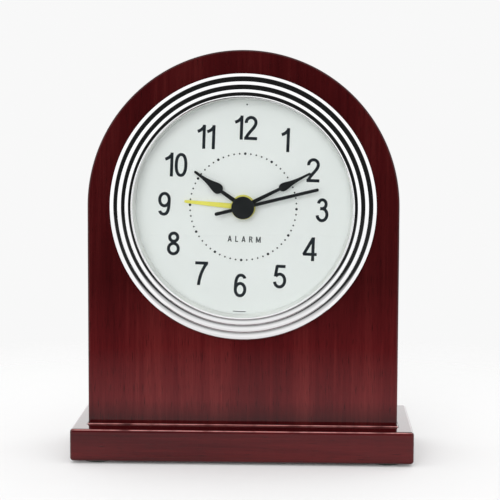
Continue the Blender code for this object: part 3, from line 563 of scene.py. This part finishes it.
def turned(profile, sides, centre=(0.0, 0.0), mesh=None):
    """Solid turned about an axis along Y from PROFILE, pairs of radius and level.

    A profile off the axis is a closed outline; one on the axis starts and ends there.
    """
    mesh = mesh or bmesh.new()
    loops = []
    for radius, level in profile:
        if radius == 0.0:
            loops.append(ring_of(mesh, [centre], level))
        else:
            loops.append(ring_of(mesh, circle(radius, sides, centre), level))
    for near, far in zip(loops, loops[1:] + loops[:1]):
        if len(near) == len(far) == 1:
            continue
        if len(near) == 1:
            near, far = far, near
        if len(far) == 1:
            for i in range(sides):
                mesh.faces.new((near[i], near[(i + 1) % sides], far[0]))
        else:
            bridge(mesh, near, far)
    return mesh


def fill(mesh, *loops):
    """Flat faces between an outline and its holes."""
    edges = []
    for loop in loops:
        for i, vertex in enumerate(loop):
            pair = (vertex, loop[(i + 1) % len(loop)])
            edges.append(mesh.edges.get(pair) or mesh.edges.new(pair))
    bmesh.ops.triangle_fill(mesh, use_beauty=True, edges=edges)


def plate(outline, front, back, holes=()):
    """Flat solid between two levels, with HOLES right through."""
    mesh = bmesh.new()
    faces = [[ring_of(mesh, points, level) for points in (outline, *holes)] for level in (front, back)]
    for near, far in zip(*faces):
        bridge(mesh, near, far)
    for loops in faces:
        fill(mesh, *loops)
    return mesh


def post(radius, low, high, centre):
    """Upright cylinder in world X, Y and Z, as a cutting tool."""
    mesh = bmesh.new()
    middle = (centre[0], centre[1], (low + high) / 2)
    bmesh.ops.create_cone(mesh, cap_ends=True, segments=32, radius1=radius, radius2=radius,
                          depth=high - low, matrix=Matrix.Translation(middle))
    return mesh


def carve(mesh, tools):
    """MESH with each of TOOLS cut out of it."""
    blank = as_object(mesh, "blank")
    cutters = [as_object(tool, "cutter") for tool in tools]
    for cutter in cutters:
        blank.modifiers.new("cut", "BOOLEAN").object = cutter
    result = bmesh.new()
    result.from_object(blank, bpy.context.evaluated_depsgraph_get())
    for item in (blank, *cutters):
        bpy.data.objects.remove(item)
    return result


def map_wood(mesh, place, top):
    """Fills the maps that the lacquered wood reads.

    Map "grain" holds PLACE(face, point), in millimetres across and along the grain. Map "edge" is
    one where a painted highlight goes: on faces below level TOP that look forward and up.
    """
    grain = mesh.loops.layers.uv.new("grain")
    edge = mesh.loops.layers.uv.new("edge")
    mesh.normal_update()
    for face in mesh.faces:
        normal = face.normal
        leaning = normal.y < -HIGHLIGHT_EDGE_LEAN and normal.z > HIGHLIGHT_EDGE_LEAN and abs(normal.x) < HIGHLIGHT_EDGE_LEAN
        painted_highlight = 1.0 if leaning and face.calc_center_median().z < top else 0.0
        for corner in face.loops:
            corner[grain].uv = place(face, corner.vert.co)
            corner[edge].uv = (painted_highlight, 0.0)


# ---- case

def arch(inset, foot):
    """Front outline of the block, drawn in by INSET, with Z from the dial's axis."""
    radius = BLOCK_RADIUS - inset
    feet = [(-radius, foot - DIAL_Z), (radius, foot - DIAL_Z)]
    return feet + [polar(radius, a) for a in spread(0.0, math.pi, 128)]


def block_grain(face, point):
    """Upright grain on the two faces; round the rim it runs along the arch."""
    if abs(face.normal.y) > FACE_ON:
        return point.x, point.z + (BACK_SHIFT if face.normal.y > 0 else 0.0)
    height = point.z - DIAL_Z
    if height <= 0:
        along = math.copysign(math.pi / 2 * BLOCK_RADIUS - height, point.x)
    else:
        along = math.atan2(point.x, height) * BLOCK_RADIUS
    return RIM_SHIFT + point.y, along


def shaft_holes(low, high, screw_radius, dowel_low, dowel_high):
    """Cutting tools for the case's two screws and two dowels."""
    tools = []
    for side in ("left", "right"):
        head_low, head_high = span(f"case_screw_{side}")
        pin_low, pin_high = span(f"dowel_{side}")
        pin_radius = (pin_high.x - pin_low.x) / 2 + FIT
        tools.append(post(screw_radius, low, high, (head_low + head_high) / 2))
        tools.append(post(pin_radius, dowel_low, dowel_high, (pin_low + pin_high) / 2))
    return tools


def add_cove(mesh):
    """Hollow fillet of lacquer round the block's foot, along its front and both sides."""
    across, front, back = BLOCK_RADIUS, BLOCK_LOW.y, BLOCK_HIGH.y - 2 * BLOCK_ROUND
    section = rounded(COVE, 6) + [(-COVE, COVE), (-COVE, 0.0)]
    loops = []
    for reach, rise in section:
        corners = [(-across - reach, back), (-across - reach, front - reach),
                   (across + reach, front - reach), (across + reach, back)]
        loops.append([mesh.verts.new((x, y, BLOCK_FOOT + rise)) for x, y in corners])
    for near, far in zip(loops, loops[1:] + loops[:1]):
        for i in range(3):
            mesh.faces.new((near[i], near[i + 1], far[i + 1], far[i]))
    mesh.faces.new([loop[0] for loop in loops])
    mesh.faces.new([loop[3] for loop in reversed(loops)])


def make_block():
    front, back = BLOCK_LOW.y, BLOCK_HIGH.y
    mesh = bmesh.new()
    edge = rounded(BLOCK_ROUND, ARC_STEPS)
    levels = [(inset, front + depth) for inset, depth in edge]
    levels += [(inset, back - depth) for inset, depth in reversed(edge)]
    rings = [ring_of(mesh, arch(inset, BLOCK_FOOT), level) for inset, level in levels]
    bridge(mesh, *rings)
    lip = rounded(BORE_ROUND, ARC_STEPS)
    bore = [(BORE_RADIUS, front)] + [(BORE_RADIUS + out, back - depth) for depth, out in lip]
    walls = [ring_of(mesh, circle(radius, 128), level) for radius, level in bore]
    bridge(mesh, *walls)
    fill(mesh, rings[0], walls[0])
    fill(mesh, rings[-1], walls[-1])
    bmesh.ops.recalc_face_normals(mesh, faces=mesh.faces)
    dowel_top = span("dowel_left")[1].z + FIT
    below = BLOCK_FOOT - OVERSHOOT
    mesh = carve(mesh, shaft_holes(below, SCREW_HOLE_TOP, SCREW_HOLE_BLOCK, below, dowel_top))
    add_cove(mesh)
    map_wood(mesh, block_grain, BLOCK_FOOT + COVE)
    even_flats(add("arch_block", mesh, "case_lacquer", "case", "case_body"))


def base_grain(face, point):
    """Grain along the board; its ends show the lipping's grain, front to back."""
    normal = face.normal
    if abs(normal.x) > FACE_ON:
        across, along = BASE_END_SHIFT
        return point.z + across, point.y + math.copysign(along, normal.x)
    if abs(normal.y) > abs(normal.z):
        return point.z + math.copysign(BASE_FRONT_SHIFT, normal.y), point.x
    return point.y + math.copysign(BASE_TOP_SHIFT, normal.z), point.x


def make_base():
    mesh = bmesh.new()
    size = BASE_HIGH - BASE_LOW
    bmesh.ops.create_cube(mesh, size=1.0, matrix=Matrix.Translation((BASE_LOW + BASE_HIGH) / 2)
                          @ Matrix.Diagonal((*size, 1.0)))
    bmesh.ops.bevel(mesh, geom=mesh.edges, offset=BASE_ROUND, offset_type="OFFSET", segments=ARC_STEPS,
                    profile=0.5, affect="EDGES", clamp_overlap=True)
    bmesh.ops.recalc_face_normals(mesh, faces=mesh.faces)
    above, bottom = BASE_HIGH.z + OVERSHOOT, BASE_LOW.z
    below = bottom - OVERSHOOT
    tools = shaft_holes(below, above, SCREW_HOLE_BASE, span("dowel_left")[0].z - FIT, above)
    for side in ("left", "right"):
        low, high = span(f"case_screw_{side}")
        head = (high.x - low.x) / 2 + FIT
        tools.append(post(head, below, bottom + SCREW_HEAD_SINK, (low + high) / 2))
    mesh = carve(mesh, tools)
    map_wood(mesh, base_grain, BASE_HIGH.z)
    even_flats(add("base_board", mesh, "base_lacquer", "case", "base_plinth"))


# ---- insert

def make_bezel():
    """Ribs stepping forward to the lens, each a quarter oval from its wall to its crest."""
    profile = []
    foot = RIBS[0][2] + RIB_RISE
    for outer, inner, crest in RIBS:
        profile.append((outer, foot + RIB_GROOVE))
        profile += [(inner + (outer - inner) * math.cos(a), foot + (crest - foot) * math.sin(a))
                    for a in quarter_turns(RIB_STEPS)]
        foot = crest
    seat = LENS_LOW.y - CLEARANCE
    profile += [(BEZEL_LIP, foot + BEZEL_LIP_ROUND), (BEZEL_LIP, seat), (BEZEL_BORE, seat)]
    profile += [(BEZEL_BORE, BEZEL_END), (BEZEL_SKIRT, BEZEL_END), (BEZEL_SKIRT, BEZEL_BACK)]
    profile.append((RIBS[0][0], BEZEL_BACK))
    add("bezel_ring", turned(profile, 256), "chrome", "case", "bezel")


def make_lens():
    radius, rim = LENS_HIGH.x, 0.3
    front, back = LENS_LOW.y, LENS_HIGH.y
    profile = [(0.0, front), (radius - rim, front), (radius, front + rim), (radius, back), (0.0, back)]
    add("lens_disc", turned(profile, 128), "lens_glass", "case", "lens")


def make_dial_and_rings():
    front, back = DIAL_LOW.y, DIAL_HIGH.y
    dial = [(DIAL_HOLE, front), (DIAL_HIGH.x, front), (DIAL_HIGH.x, back), (DIAL_HOLE, back)]
    add("dial_plate", turned(dial, 192), "dial_white", "case", "dial")

    outer, lip = RING_HIGH.x, 0.15
    near, far = RING_LOW.y, RING_HIGH.y
    mouth = RING_OPENING + RING_SLOPE
    reflector = [(outer, near), (outer, far), (RING_OPENING + lip, far), (RING_OPENING, far - lip)]
    reflector += [(mouth, near + lip), (mouth + lip, near)]
    add("reflector", turned(reflector, 192), "white_plastic", "case", "reflector_ring")

    outer, front, back = CUP_HIGH.x, CUP_LOW.y, CUP_HIGH.y
    inner, soft, web_back = outer - CUP_WALL, 0.35, front + CUP_WEB
    rim = quarter((outer - soft, back - soft), soft, 0.0)
    rim += quarter((inner + soft, back - soft), soft, 90.0)
    cup = [(CUP_HOLE, front), (outer, front)] + rim + [(inner, web_back + CUP_FILLET)]
    cup += [(inner - CUP_FILLET, web_back), (CUP_HOLE, web_back)]
    mesh = turned(cup, 128)
    for side in ("left", "right"):
        low, high = span(f"movement_screw_{side}")
        at = ((low.x + high.x) / 2, (low.z + high.z) / 2 - DIAL_Z)
        root = web_back - BOSS_SINK
        boss = [(BOSS_BORE, root), (BOSS_RADIUS, root), (BOSS_RADIUS, BOSS_BACK), (BOSS_BORE, BOSS_BACK)]
        turned(boss, 24, at, mesh)
    add("cup", mesh, "black_plastic", "case", "insert_cup")

    front, back = GRIP_LOW.y, GRIP_HIGH.y
    outer, inner = GRIP_HIGH.x, CUP_HIGH.x + CLEARANCE
    waves, rise = 2, 0.3
    ribs = [(outer - rise - rise * math.cos(2 * math.pi * waves * share),
             front + (back - front) * share) for share in spread(0.0, 1.0, 32)]
    band = turned([(inner, front)] + ribs + [(inner, back)], 96)
    add("grip_band", band, "rubber", "case", "grip_ring")


# ---- dial print

def line(*points):
    return [Vector(point) for point in points]


def sweep(centre, radii, start, end, steps=24, power=2.0):
    """Points round an oval between two angles in degrees; a higher POWER has squarer shoulders."""
    points = []
    for a in spread(math.radians(start), math.radians(end), steps):
        c, s = math.cos(a), math.sin(a)
        points.append(Vector((centre[0] + radii[0] * math.copysign(abs(c) ** (2 / power), c),
                              centre[1] + radii[1] * math.copysign(abs(s) ** (2 / power), s))))
    return points


def bezier(start, first, second, end):
    """Points of a cubic curve."""
    points = []
    for t in spread(0.0, 1.0, 12):
        u = 1 - t
        points.append(Vector(start) * u ** 3 + Vector(first) * 3 * u * u * t
                      + Vector(second) * 3 * u * t * t + Vector(end) * t ** 3)
    return points


def glyph_table(t):
    """Each character's width, and its centre lines one unit high, for strokes T wide."""
    h = t / 2
    table = {
        "0": (0.53, [sweep((0.265, 0.5), (0.265 - h, 0.5 - h), 0, 360, 48, 2.25)]),
        "1": (0.33, [line((0.275, 0.0), (0.275, 1.0)),
                     bezier((0.275, 0.93), (0.21, 0.83), (0.13, 0.755), (0.0, 0.715))]),
        "2": (0.54, [sweep((0.265, 0.735), (0.265 - h, 0.265 - h), 190, -2, 24)
                     + bezier((0.53 - h, 0.70), (0.512 - h, 0.50), (0.16, 0.33), (0.06, 0.04)),
                     line((0.0, h), (0.54, h))]),
        "3": (0.53, [sweep((0.255, 0.75), (0.225 - h, 0.25 - h), 172, -90, 20),
                     line((0.17, 0.5 + h), (0.26, 0.5 + h)),
                     sweep((0.26, 0.25 + h), (0.27 - h, 0.25), 90, -172, 24)]),
        "4": (0.58, [line((0.415, 0.0), (0.415, 1.0)), line((0.0, 0.285), (0.58, 0.285)),
                     line((0.435, 1.02), (0.03, 0.27))]),
        "5": (0.54, [line((0.12, 1.0 - h), (0.49, 1.0 - h)), line((0.145, 0.97), (0.075, 0.50)),
                     sweep((0.26, 0.335), (0.28 - h, 0.335 - h), 142, -168, 30)]),
        "6": (0.53, [sweep((0.265, 0.325), (0.265 - h, 0.325 - h), 0, 360, 48),
                     bezier((h, 0.33), (h, 0.64), (0.08, 1.0 - h), (0.28, 1.0 - h))
                     + sweep((0.28, 0.77), (0.235 - h, 0.23 - h), 78, 10, 10)]),
        "7": (0.54, [line((0.0, 1.0 - h), (0.54, 1.0 - h)),
                     bezier((0.50, 0.95), (0.37, 0.78), (0.20, 0.45), (0.165, -0.02))]),
        "8": (0.54, [sweep((0.27, 0.765), (0.235 - h, 0.235 - h), 0, 360, 40),
                     sweep((0.27, 0.285), (0.27 - h, 0.285 - h), 0, 360, 44)]),
        "A": (0.72, [line((h, -0.05), (0.36, 1.02)), line((0.72 - h, -0.05), (0.36, 1.02)),
                     line((0.14, 0.30), (0.58, 0.30))]),
        "L": (0.50, [line((h, 0.0), (h, 1.0)), line((0.0, h), (0.50, h))]),
        "R": (0.60, [line((h, 0.0), (h, 1.0)), line((h, 1.0 - h), (0.34, 1.0 - h)),
                     sweep((0.34, 0.735), (0.24 - h, 0.265 - h), 90, -90, 12),
                     line((h, 0.47 + h), (0.34, 0.47 + h)), line((0.33, 0.50), (0.58, -0.03))]),
        "M": (0.82, [line((h, 0.0), (h, 1.0)), line((0.82 - h, 0.0), (0.82 - h, 1.0)),
                     line((h, 1.02), (0.41, 0.10)), line((0.82 - h, 1.02), (0.41, 0.10))]),
    }
    width, strokes = table["6"]
    table["9"] = width, [[Vector((width - p.x, 1.0 - p.y)) for p in stroke] for stroke in strokes]
    return table


def clipped(points, limit, sign):
    """The part of a convex outline whose height times SIGN is under LIMIT times SIGN."""
    kept = []
    for point, following in zip(points, points[1:] + points[:1]):
        inside, next_inside = sign * point.y <= sign * limit, sign * following.y <= sign * limit
        if inside:
            kept.append(point)
        if inside != next_inside:
            kept.append(point.lerp(following, (limit - point.y) / (following.y - point.y)))
    return kept


def stroke_quads(points, t):
    """Four-sided pieces of a stroke T wide along POINTS, kept between the feet and the top."""
    closed = (points[0] - points[-1]).length < 1e-6
    if closed:
        points = points[:-1]
    count = len(points)
    sides = []
    for i, point in enumerate(points):
        before = points[i - 1] if closed or i > 0 else point
        after = points[(i + 1) % count] if closed or i + 1 < count else point
        first = (point - before).normalized() if point != before else (after - point).normalized()
        second = (after - point).normalized() if point != after else first
        across = Vector((-(first.y + second.y), first.x + second.x)).normalized()
        reach = t / 2 / max(0.5, across.dot(Vector((-first.y, first.x))))
        sides.append((point + across * reach, point - across * reach))
    pairs = list(zip(sides, sides[1:] + (sides[:1] if closed else [])))
    quads = [[a[0], a[1], b[1], b[0]] for a, b in pairs]
    return [quad for quad in (clipped(clipped(q, 0.0, -1), 1.0, 1) for q in quads) if len(quad) > 2]


def joined(shapes):
    """Corners and triangles of the region that convex SHAPES cover together."""
    points, faces = [], []
    for shape in shapes:
        faces.append(list(range(len(points), len(points) + len(shape))))
        points += shape
    every_triangle, merge_within = 0, 1e-5
    corners, _, triangles, _, _, sources = delaunay_2d_cdt(points, [], faces, every_triangle,
                                                           merge_within, True)
    return corners, [triangle for triangle, source in zip(triangles, sources) if source]


def word_regions(text, height, stroke, spacing, centre):
    """Regions of a word's characters, upright and centred on CENTRE before the print is turned."""
    t = stroke / height
    table = glyph_table(t)
    strokes = [table[character] for character in text]
    left = -(sum(width for width, _ in strokes) + spacing * (len(text) - 1)) / 2
    regions = []
    for width, lines in strokes:
        corners, triangles = joined([quad for points in lines for quad in stroke_quads(points, t)])
        moved = [Vector(centre) + Vector((left + p.x, p.y - 0.5)) * height for p in corners]
        regions.append((moved, triangles))
        left += width + spacing
    return regions


def printed(name, regions, ink):
    """Thin print of REGIONS, each a list of corners and one of faces, turned with the dial."""
    turn = Matrix.Rotation(-math.radians(PRINT_TURN), 2)
    mesh = bmesh.new()
    for corners, faces in regions:
        placed = [turn @ Vector(corner) for corner in corners]
        verts = ring_of(mesh, placed, DIAL_LOW.y - PRINT_DEPTH)
        for face in faces:
            mesh.faces.new([verts[i] for i in face])
    bmesh.ops.delete(mesh, geom=[v for v in mesh.verts if not v.link_faces], context="VERTS")
    bmesh.ops.dissolve_limit(mesh, angle_limit=0.01, verts=mesh.verts, edges=mesh.edges)
    grown = bmesh.ops.extrude_face_region(mesh, geom=mesh.faces[:])
    moved = [item for item in grown["geom"] if isinstance(item, bmesh.types.BMVert)]
    bmesh.ops.translate(mesh, verts=moved, vec=(0.0, PRINT_DEPTH + PRINT_SINK, 0.0))
    bmesh.ops.triangulate(mesh, faces=[f for f in mesh.faces if len(f.verts) > 4])
    add(name, mesh, "dial_white", "case", ink=ink)


def make_print():
    """Twelve numerals, the minute track and the word under the hands."""
    numerals = []
    for hour in range(1, 13):
        centre = polar(NUMERAL_RING, math.radians(90.0 - 30.0 * hour))
        numerals += word_regions(str(hour), NUMERAL_HEIGHT, NUMERAL_STROKE, NUMERAL_SPACING, centre)
    printed("numerals", numerals, NUMERAL_INK)

    dots = []
    for minute in range(60):
        centre = polar(TRACK_RING, math.radians(90.0 - 6.0 * minute))
        radius, sides = (HOUR_DOT, 24) if minute % 5 == 0 else (MINUTE_DOT, 16)
        dots.append((circle(radius, sides, centre), [range(sides)]))
    printed("minute_track", dots, NUMERAL_INK)

    steps, half = 12, math.radians(MARK_SPAN) / 2
    turns = spread(-math.pi / 2 - half, -math.pi / 2 + half, steps)
    inner, outer = MARK_RING
    mark = [polar(inner, a) for a in turns] + [polar(outer, a) for a in reversed(turns)]
    last = len(mark) - 1
    sliver = [(i, i + 1, last - 1 - i, last - i) for i in range(steps)]
    top_dot = (circle(MINUTE_DOT, 16, (0.0, TOP_DOT)), [range(16)])
    printed("rim_marks", [(mark, sliver), top_dot], WORD_INK)

    word = word_regions("ALARM", WORD_HEIGHT, WORD_STROKE, WORD_SPACING, WORD_PLACE)
    printed("dial_word", word, WORD_INK)


# ---- hands

def pointing(node):
    """Angle clockwise from twelve that a hand points to, from its farthest corners."""
    axis, slack = (DIAL_LOW + DIAL_HIGH) / 2, 0.05
    reaches = [vertex.co / MM - axis for vertex in frame["nodes"][node].data.vertices]
    far = max(math.hypot(p.x, p.z) for p in reaches)
    tip = sum((p for p in reaches if math.hypot(p.x, p.z) > far - slack), Vector())
    return math.degrees(math.atan2(tip.x, tip.z))


def smooth_blade(points):
    """Catmull-Rom curve through (distance, half width) points."""
    knots = [Vector(p) for p in (points[0], *points, points[-1])]
    curve = []
    for a, b, c, d in zip(knots, knots[1:], knots[2:], knots[3:]):
        for t in spread(0.0, 1.0, 6)[:-1]:
            curve.append(0.5 * ((2 * b) + (c - a) * t + (2 * a - 5 * b + 4 * c - d) * t * t
                                + (3 * b - a - 3 * c + d) * t ** 3))
    return curve + [knots[-1]]


def hand_outline(hub, blade, tail, angle):
    """Outline of a hand: a round hub, its blade and its tail; pointing ANGLE clockwise from twelve."""
    def sides(points):
        right = [(width, distance) for distance, width in points]
        return right + [(-width, distance) for distance, width in reversed(points) if width > 0]

    upper = math.asin(blade[0][1] / hub)
    lower = math.asin(tail[0][1] / hub) if tail else 0.0
    hub_left = [polar(hub, a) for a in spread(math.pi / 2 + upper, 1.5 * math.pi - lower, 28)]
    hub_right = [(-x, z) for x, z in reversed(hub_left)]
    outline = sides(blade)[::-1] + hub_left
    outline += [(-x, -z) for x, z in sides(tail)[::-1]] if tail else []
    outline += hub_right
    least_step = 0.004
    cleaned = [p for p, q in zip(outline, outline[1:] + outline[:1]) if math.dist(p, q) > least_step]
    c, s = math.cos(math.radians(angle)), math.sin(math.radians(angle))
    return [(x * c + z * s, z * c - x * s) for x, z in cleaned]


def flat_hand(name, node, body, slot, blade, hub, bore, tail=()):
    """Hand from a flat plate; HUB and BORE are radii."""
    low, high = span(node)
    outline = hand_outline(hub, blade, tail, pointing(node))
    mesh = plate(outline, low.y, high.y, [circle(bore, 32)])
    ease(add(name, mesh, slot, body, node), HAND_BEVEL)


def round_tip(length, half):
    """Points of a round end of a blade that reaches LENGTH."""
    return [(length - half + half * math.sin(a), half * math.cos(a)) for a in quarter_turns(6)]


def make_hands():
    """The four hands, each blade in pairs of distance and half width, and the cap over them."""
    alarm = [(4.45, 1.0), (8.0, 0.95), (16.0, 0.74)] + round_tip(22.7, 0.54)
    flat_hand("alarm_pointer", "alarm_hand", "alarm", "yellow_paint", alarm, hub=4.75, bore=3.2)

    hour = [(3.3, 0.66), (10.1, 0.66)]
    hour += smooth_blade([(10.2, 0.66), (10.4, 1.1), (10.85, 1.66), (11.6, 2.0), (12.6, 2.02),
                          (14.0, 1.7), (15.8, 1.2), (17.6, 0.82), (19.4, 0.6), (20.8, 0.54)])
    hour += round_tip(23.2, 0.5)
    flat_hand("hour_spade", "hour_hand", "hours", "black_paint", hour, hub=3.4, bore=2.25)

    minute = [(2.9, 0.6), (15.6, 0.6)]
    minute += smooth_blade([(15.7, 0.6), (15.9, 0.95), (16.3, 1.32), (17.0, 1.55), (17.9, 1.56),
                            (19.3, 1.3), (21.0, 0.92), (23.2, 0.64), (25.2, 0.5), (26.6, 0.47)])
    minute += round_tip(29.0, 0.44)
    flat_hand("minute_spade", "minute_hand", "minutes", "black_paint", minute, hub=3.0, bore=1.45)

    second = [(1.65, 0.66)] + round_tip(29.8, 0.6)
    tail = [(1.65, 0.66)] + round_tip(11.1, 0.66)
    flat_hand("sweep_hand", "second_hand", "seconds", "black_paint", second, hub=1.8, bore=0.7,
              tail=tail)

    radius, front, back = CAP_HIGH.x, CAP_LOW.y, CAP_HIGH.y
    bevel, edge, crown = 0.1, 0.28, 0.35
    profile = [(0.0, back), (radius - bevel, back), (radius, back - bevel)]
    profile += [(radius - edge * (1 - math.cos(a)), front + crown + edge * (1 - math.sin(a)))
                for a in quarter_turns(6)[:-1]]
    profile += [((radius - edge) * share, front + crown * share ** 2)
                for share in spread(1.0, 0.0, 14)]
    add("centre_cap", turned(profile, 96), "black_paint", "seconds", "hand_cap")


# ---- back

def make_knob(name, node, body):
    """Fluted setting knob with a dished face."""
    low, high = span(node)
    radius, count = (high.x - low.x) / 2, 256
    flutes, depth, keenness = 16, 0.45, 1.6
    centre = ((low.x + high.x) / 2, (low.z + high.z) / 2 - DIAL_Z)

    def outline(inset):
        points = []
        for a in spread(0.0, 2 * math.pi, count)[:-1]:
            drop = depth * (0.5 - 0.5 * math.cos(flutes * a)) ** keenness
            points.append(polar(radius - inset - drop, a, centre))
        return points

    front, back, soft, bevel = low.y, high.y, 0.6, 0.2
    mesh = bmesh.new()
    bore = circle(KNOB_BORE, count, centre)
    rings = [ring_of(mesh, bore, front + KNOB_BORE_DEPTH), ring_of(mesh, bore, front)]
    rings += [ring_of(mesh, outline(bevel), front), ring_of(mesh, outline(0.0), front + bevel)]
    rings += [ring_of(mesh, outline(inset), back - drop) for drop, inset in rounded(soft, 4)]
    for inset, drop in KNOB_DISH:
        rings.append(ring_of(mesh, circle(radius - inset, count, centre), back - drop))
    rings.append(ring_of(mesh, circle(KNOB_PIP, count, centre), back - KNOB_PIP_DEPTH))
    bridge(mesh, *rings)
    mesh.faces.new(rings[0])
    mesh.faces.new(rings[-1])
    bmesh.ops.triangulate(mesh, faces=[f for f in mesh.faces if len(f.verts) > 4])
    add(name, mesh, "black_plastic", body, node)


# ---- CAD nodes that stay in view

def dress_frame():
    """Gives every CAD node its finish, and a small round to the moulded and pressed ones."""
    slots = {part["node"]: part["material_slot"] for part in frame["record"]["subparts"]}
    for name, node in frame["nodes"].items():
        node.data.materials.clear()
        node.data.materials.append(FINISHES[slots[name]])
    for name in ("back_cover", "movement_case", "battery_door", "switch_slider"):
        piece = frame["nodes"][name]
        weld = piece.modifiers.new("weld", "WELD")
        weld.merge_threshold = WELD_REACH
        ease(piece, MOULDED_ROUND, 40.0)


# ---- stage

def make_floor():
    """Pale paper that melts into the backdrop; polished faces mirror it dark in the opening."""
    mesh = bmesh.new()
    bmesh.ops.create_circle(mesh, cap_ends=True, segments=128, radius=FLOOR_RADIUS)
    floor = as_object(mesh, "floor")
    paper = Shader("paper", PAPER, 0.9, specular_ior_level=0.0)
    reach = paper.add("VectorMath", paper.place, operation="LENGTH").outputs["Value"]
    toward = paper.add("VectorMath", paper.place, operation="NORMALIZE").outputs["Vector"]
    sides = paper.remap(paper.times(paper.axes(toward)["Y"], -1.0), *OPENING_EDGE)
    fade = paper.times(sides, paper.remap(reach, *FLOOR_FADE))
    path = paper.add("LightPath").outputs
    unlit = paper.times(fade, path["Is Glossy Ray"])
    paper.see_through(paper.times(paper.remap(reach, *FLOOR_SWEEP), path["Is Camera Ray"]))
    tooth = paper.noise(400.0, 2.0)
    tone = paper.mix(unlit, PAPER, tinted(PAPER, UNLIT))
    floor.data.materials.append(paper.finish(base_color=tone, normal=paper.bump(tooth, 0.0001, 0.1)))


def make_light():
    """White tent whose front is open, a soft sky and one broad sun."""
    scene = bpy.context.scene
    scene.view_settings.view_transform = "Standard"
    scene.view_settings.look = "None"
    scene.world = bpy.data.worlds.new("studio")
    tree = Tree(scene.world)
    direction = tree.add("TexCoord").outputs["Generated"]
    aim = Vector(OPENING_AIM).normalized()
    facing = tree.add("VectorMath", direction, aim, operation="DOT_PRODUCT").outputs["Value"]
    axes = tree.axes(direction)
    tent = tree.remap(facing, *OPENING_EDGE, TENT, OPENING, "SMOOTHSTEP")
    behind = tree.remap(axes["Y"], *TENT_RISE, 1.0, TENT_BEHIND, "SMOOTHSTEP")
    sky = tree.remap(axes["Z"], *SKY_RISE, *SKY, "SMOOTHSTEP")
    # Rays mirrored or refracted before they meet a matt surface see the tent, camera rays see
    # the backdrop, and all others the sky.
    path = tree.add("LightPath").outputs
    bare = tree.add("Math", path["Is Glossy Ray"], path["Is Transmission Ray"], operation="ADD",
                    use_clamp=True).outputs[0]
    direct = tree.add("Math", path["Diffuse Depth"], 0.5, operation="LESS_THAN").outputs[0]
    lit = tree.remap(tree.times(bare, direct), 0.0, 1.0, sky, tree.times(tent, behind))
    seen = tree.remap(path["Is Camera Ray"], 0.0, 1.0, lit, BACKDROP)
    tree.links.new(seen, tree.nodes["Background"].inputs["Color"])

    data = bpy.data.lights.new("key", "SUN")
    data.energy = KEY_STRENGTH
    data.angle = math.radians(KEY_SPREAD)
    key = bpy.data.objects.new("key", data)
    key.rotation_euler = Vector(KEY_AIM).to_track_quat("-Z", "Y").to_euler()
    key.visible_glossy = False
    key.visible_transmission = False
    scene.collection.objects.link(key)


def make_camera():
    """Camera a little right of and above the clock, as a small product shot has it."""
    data = bpy.data.cameras.new("camera")
    data.sensor_width = 36.0
    data.lens = CAMERA_LENS
    camera = bpy.data.objects.new("camera", data)
    yaw, pitch, roll = (math.radians(angle) for angle in CAMERA_TURN)
    turn = Matrix.Rotation(yaw, 4, "Z") @ Matrix.Rotation(math.pi / 2 + pitch, 4, "X")
    camera.matrix_world = (Matrix.Translation(CAMERA_PLACE) @ turn
                           @ Matrix.Rotation(roll, 4, "Z"))
    bpy.context.scene.collection.objects.link(camera)
    bpy.context.scene.camera = camera


def main():
    dress_frame()
    make_block()
    make_base()
    make_bezel()
    make_lens()
    make_dial_and_rings()
    make_print()
    make_hands()
    make_knob("time_setter", "time_knob", "time_setting")
    make_knob("alarm_setter", "alarm_knob", "alarm_setting")
    make_floor()
    make_light()
    make_camera()


main()
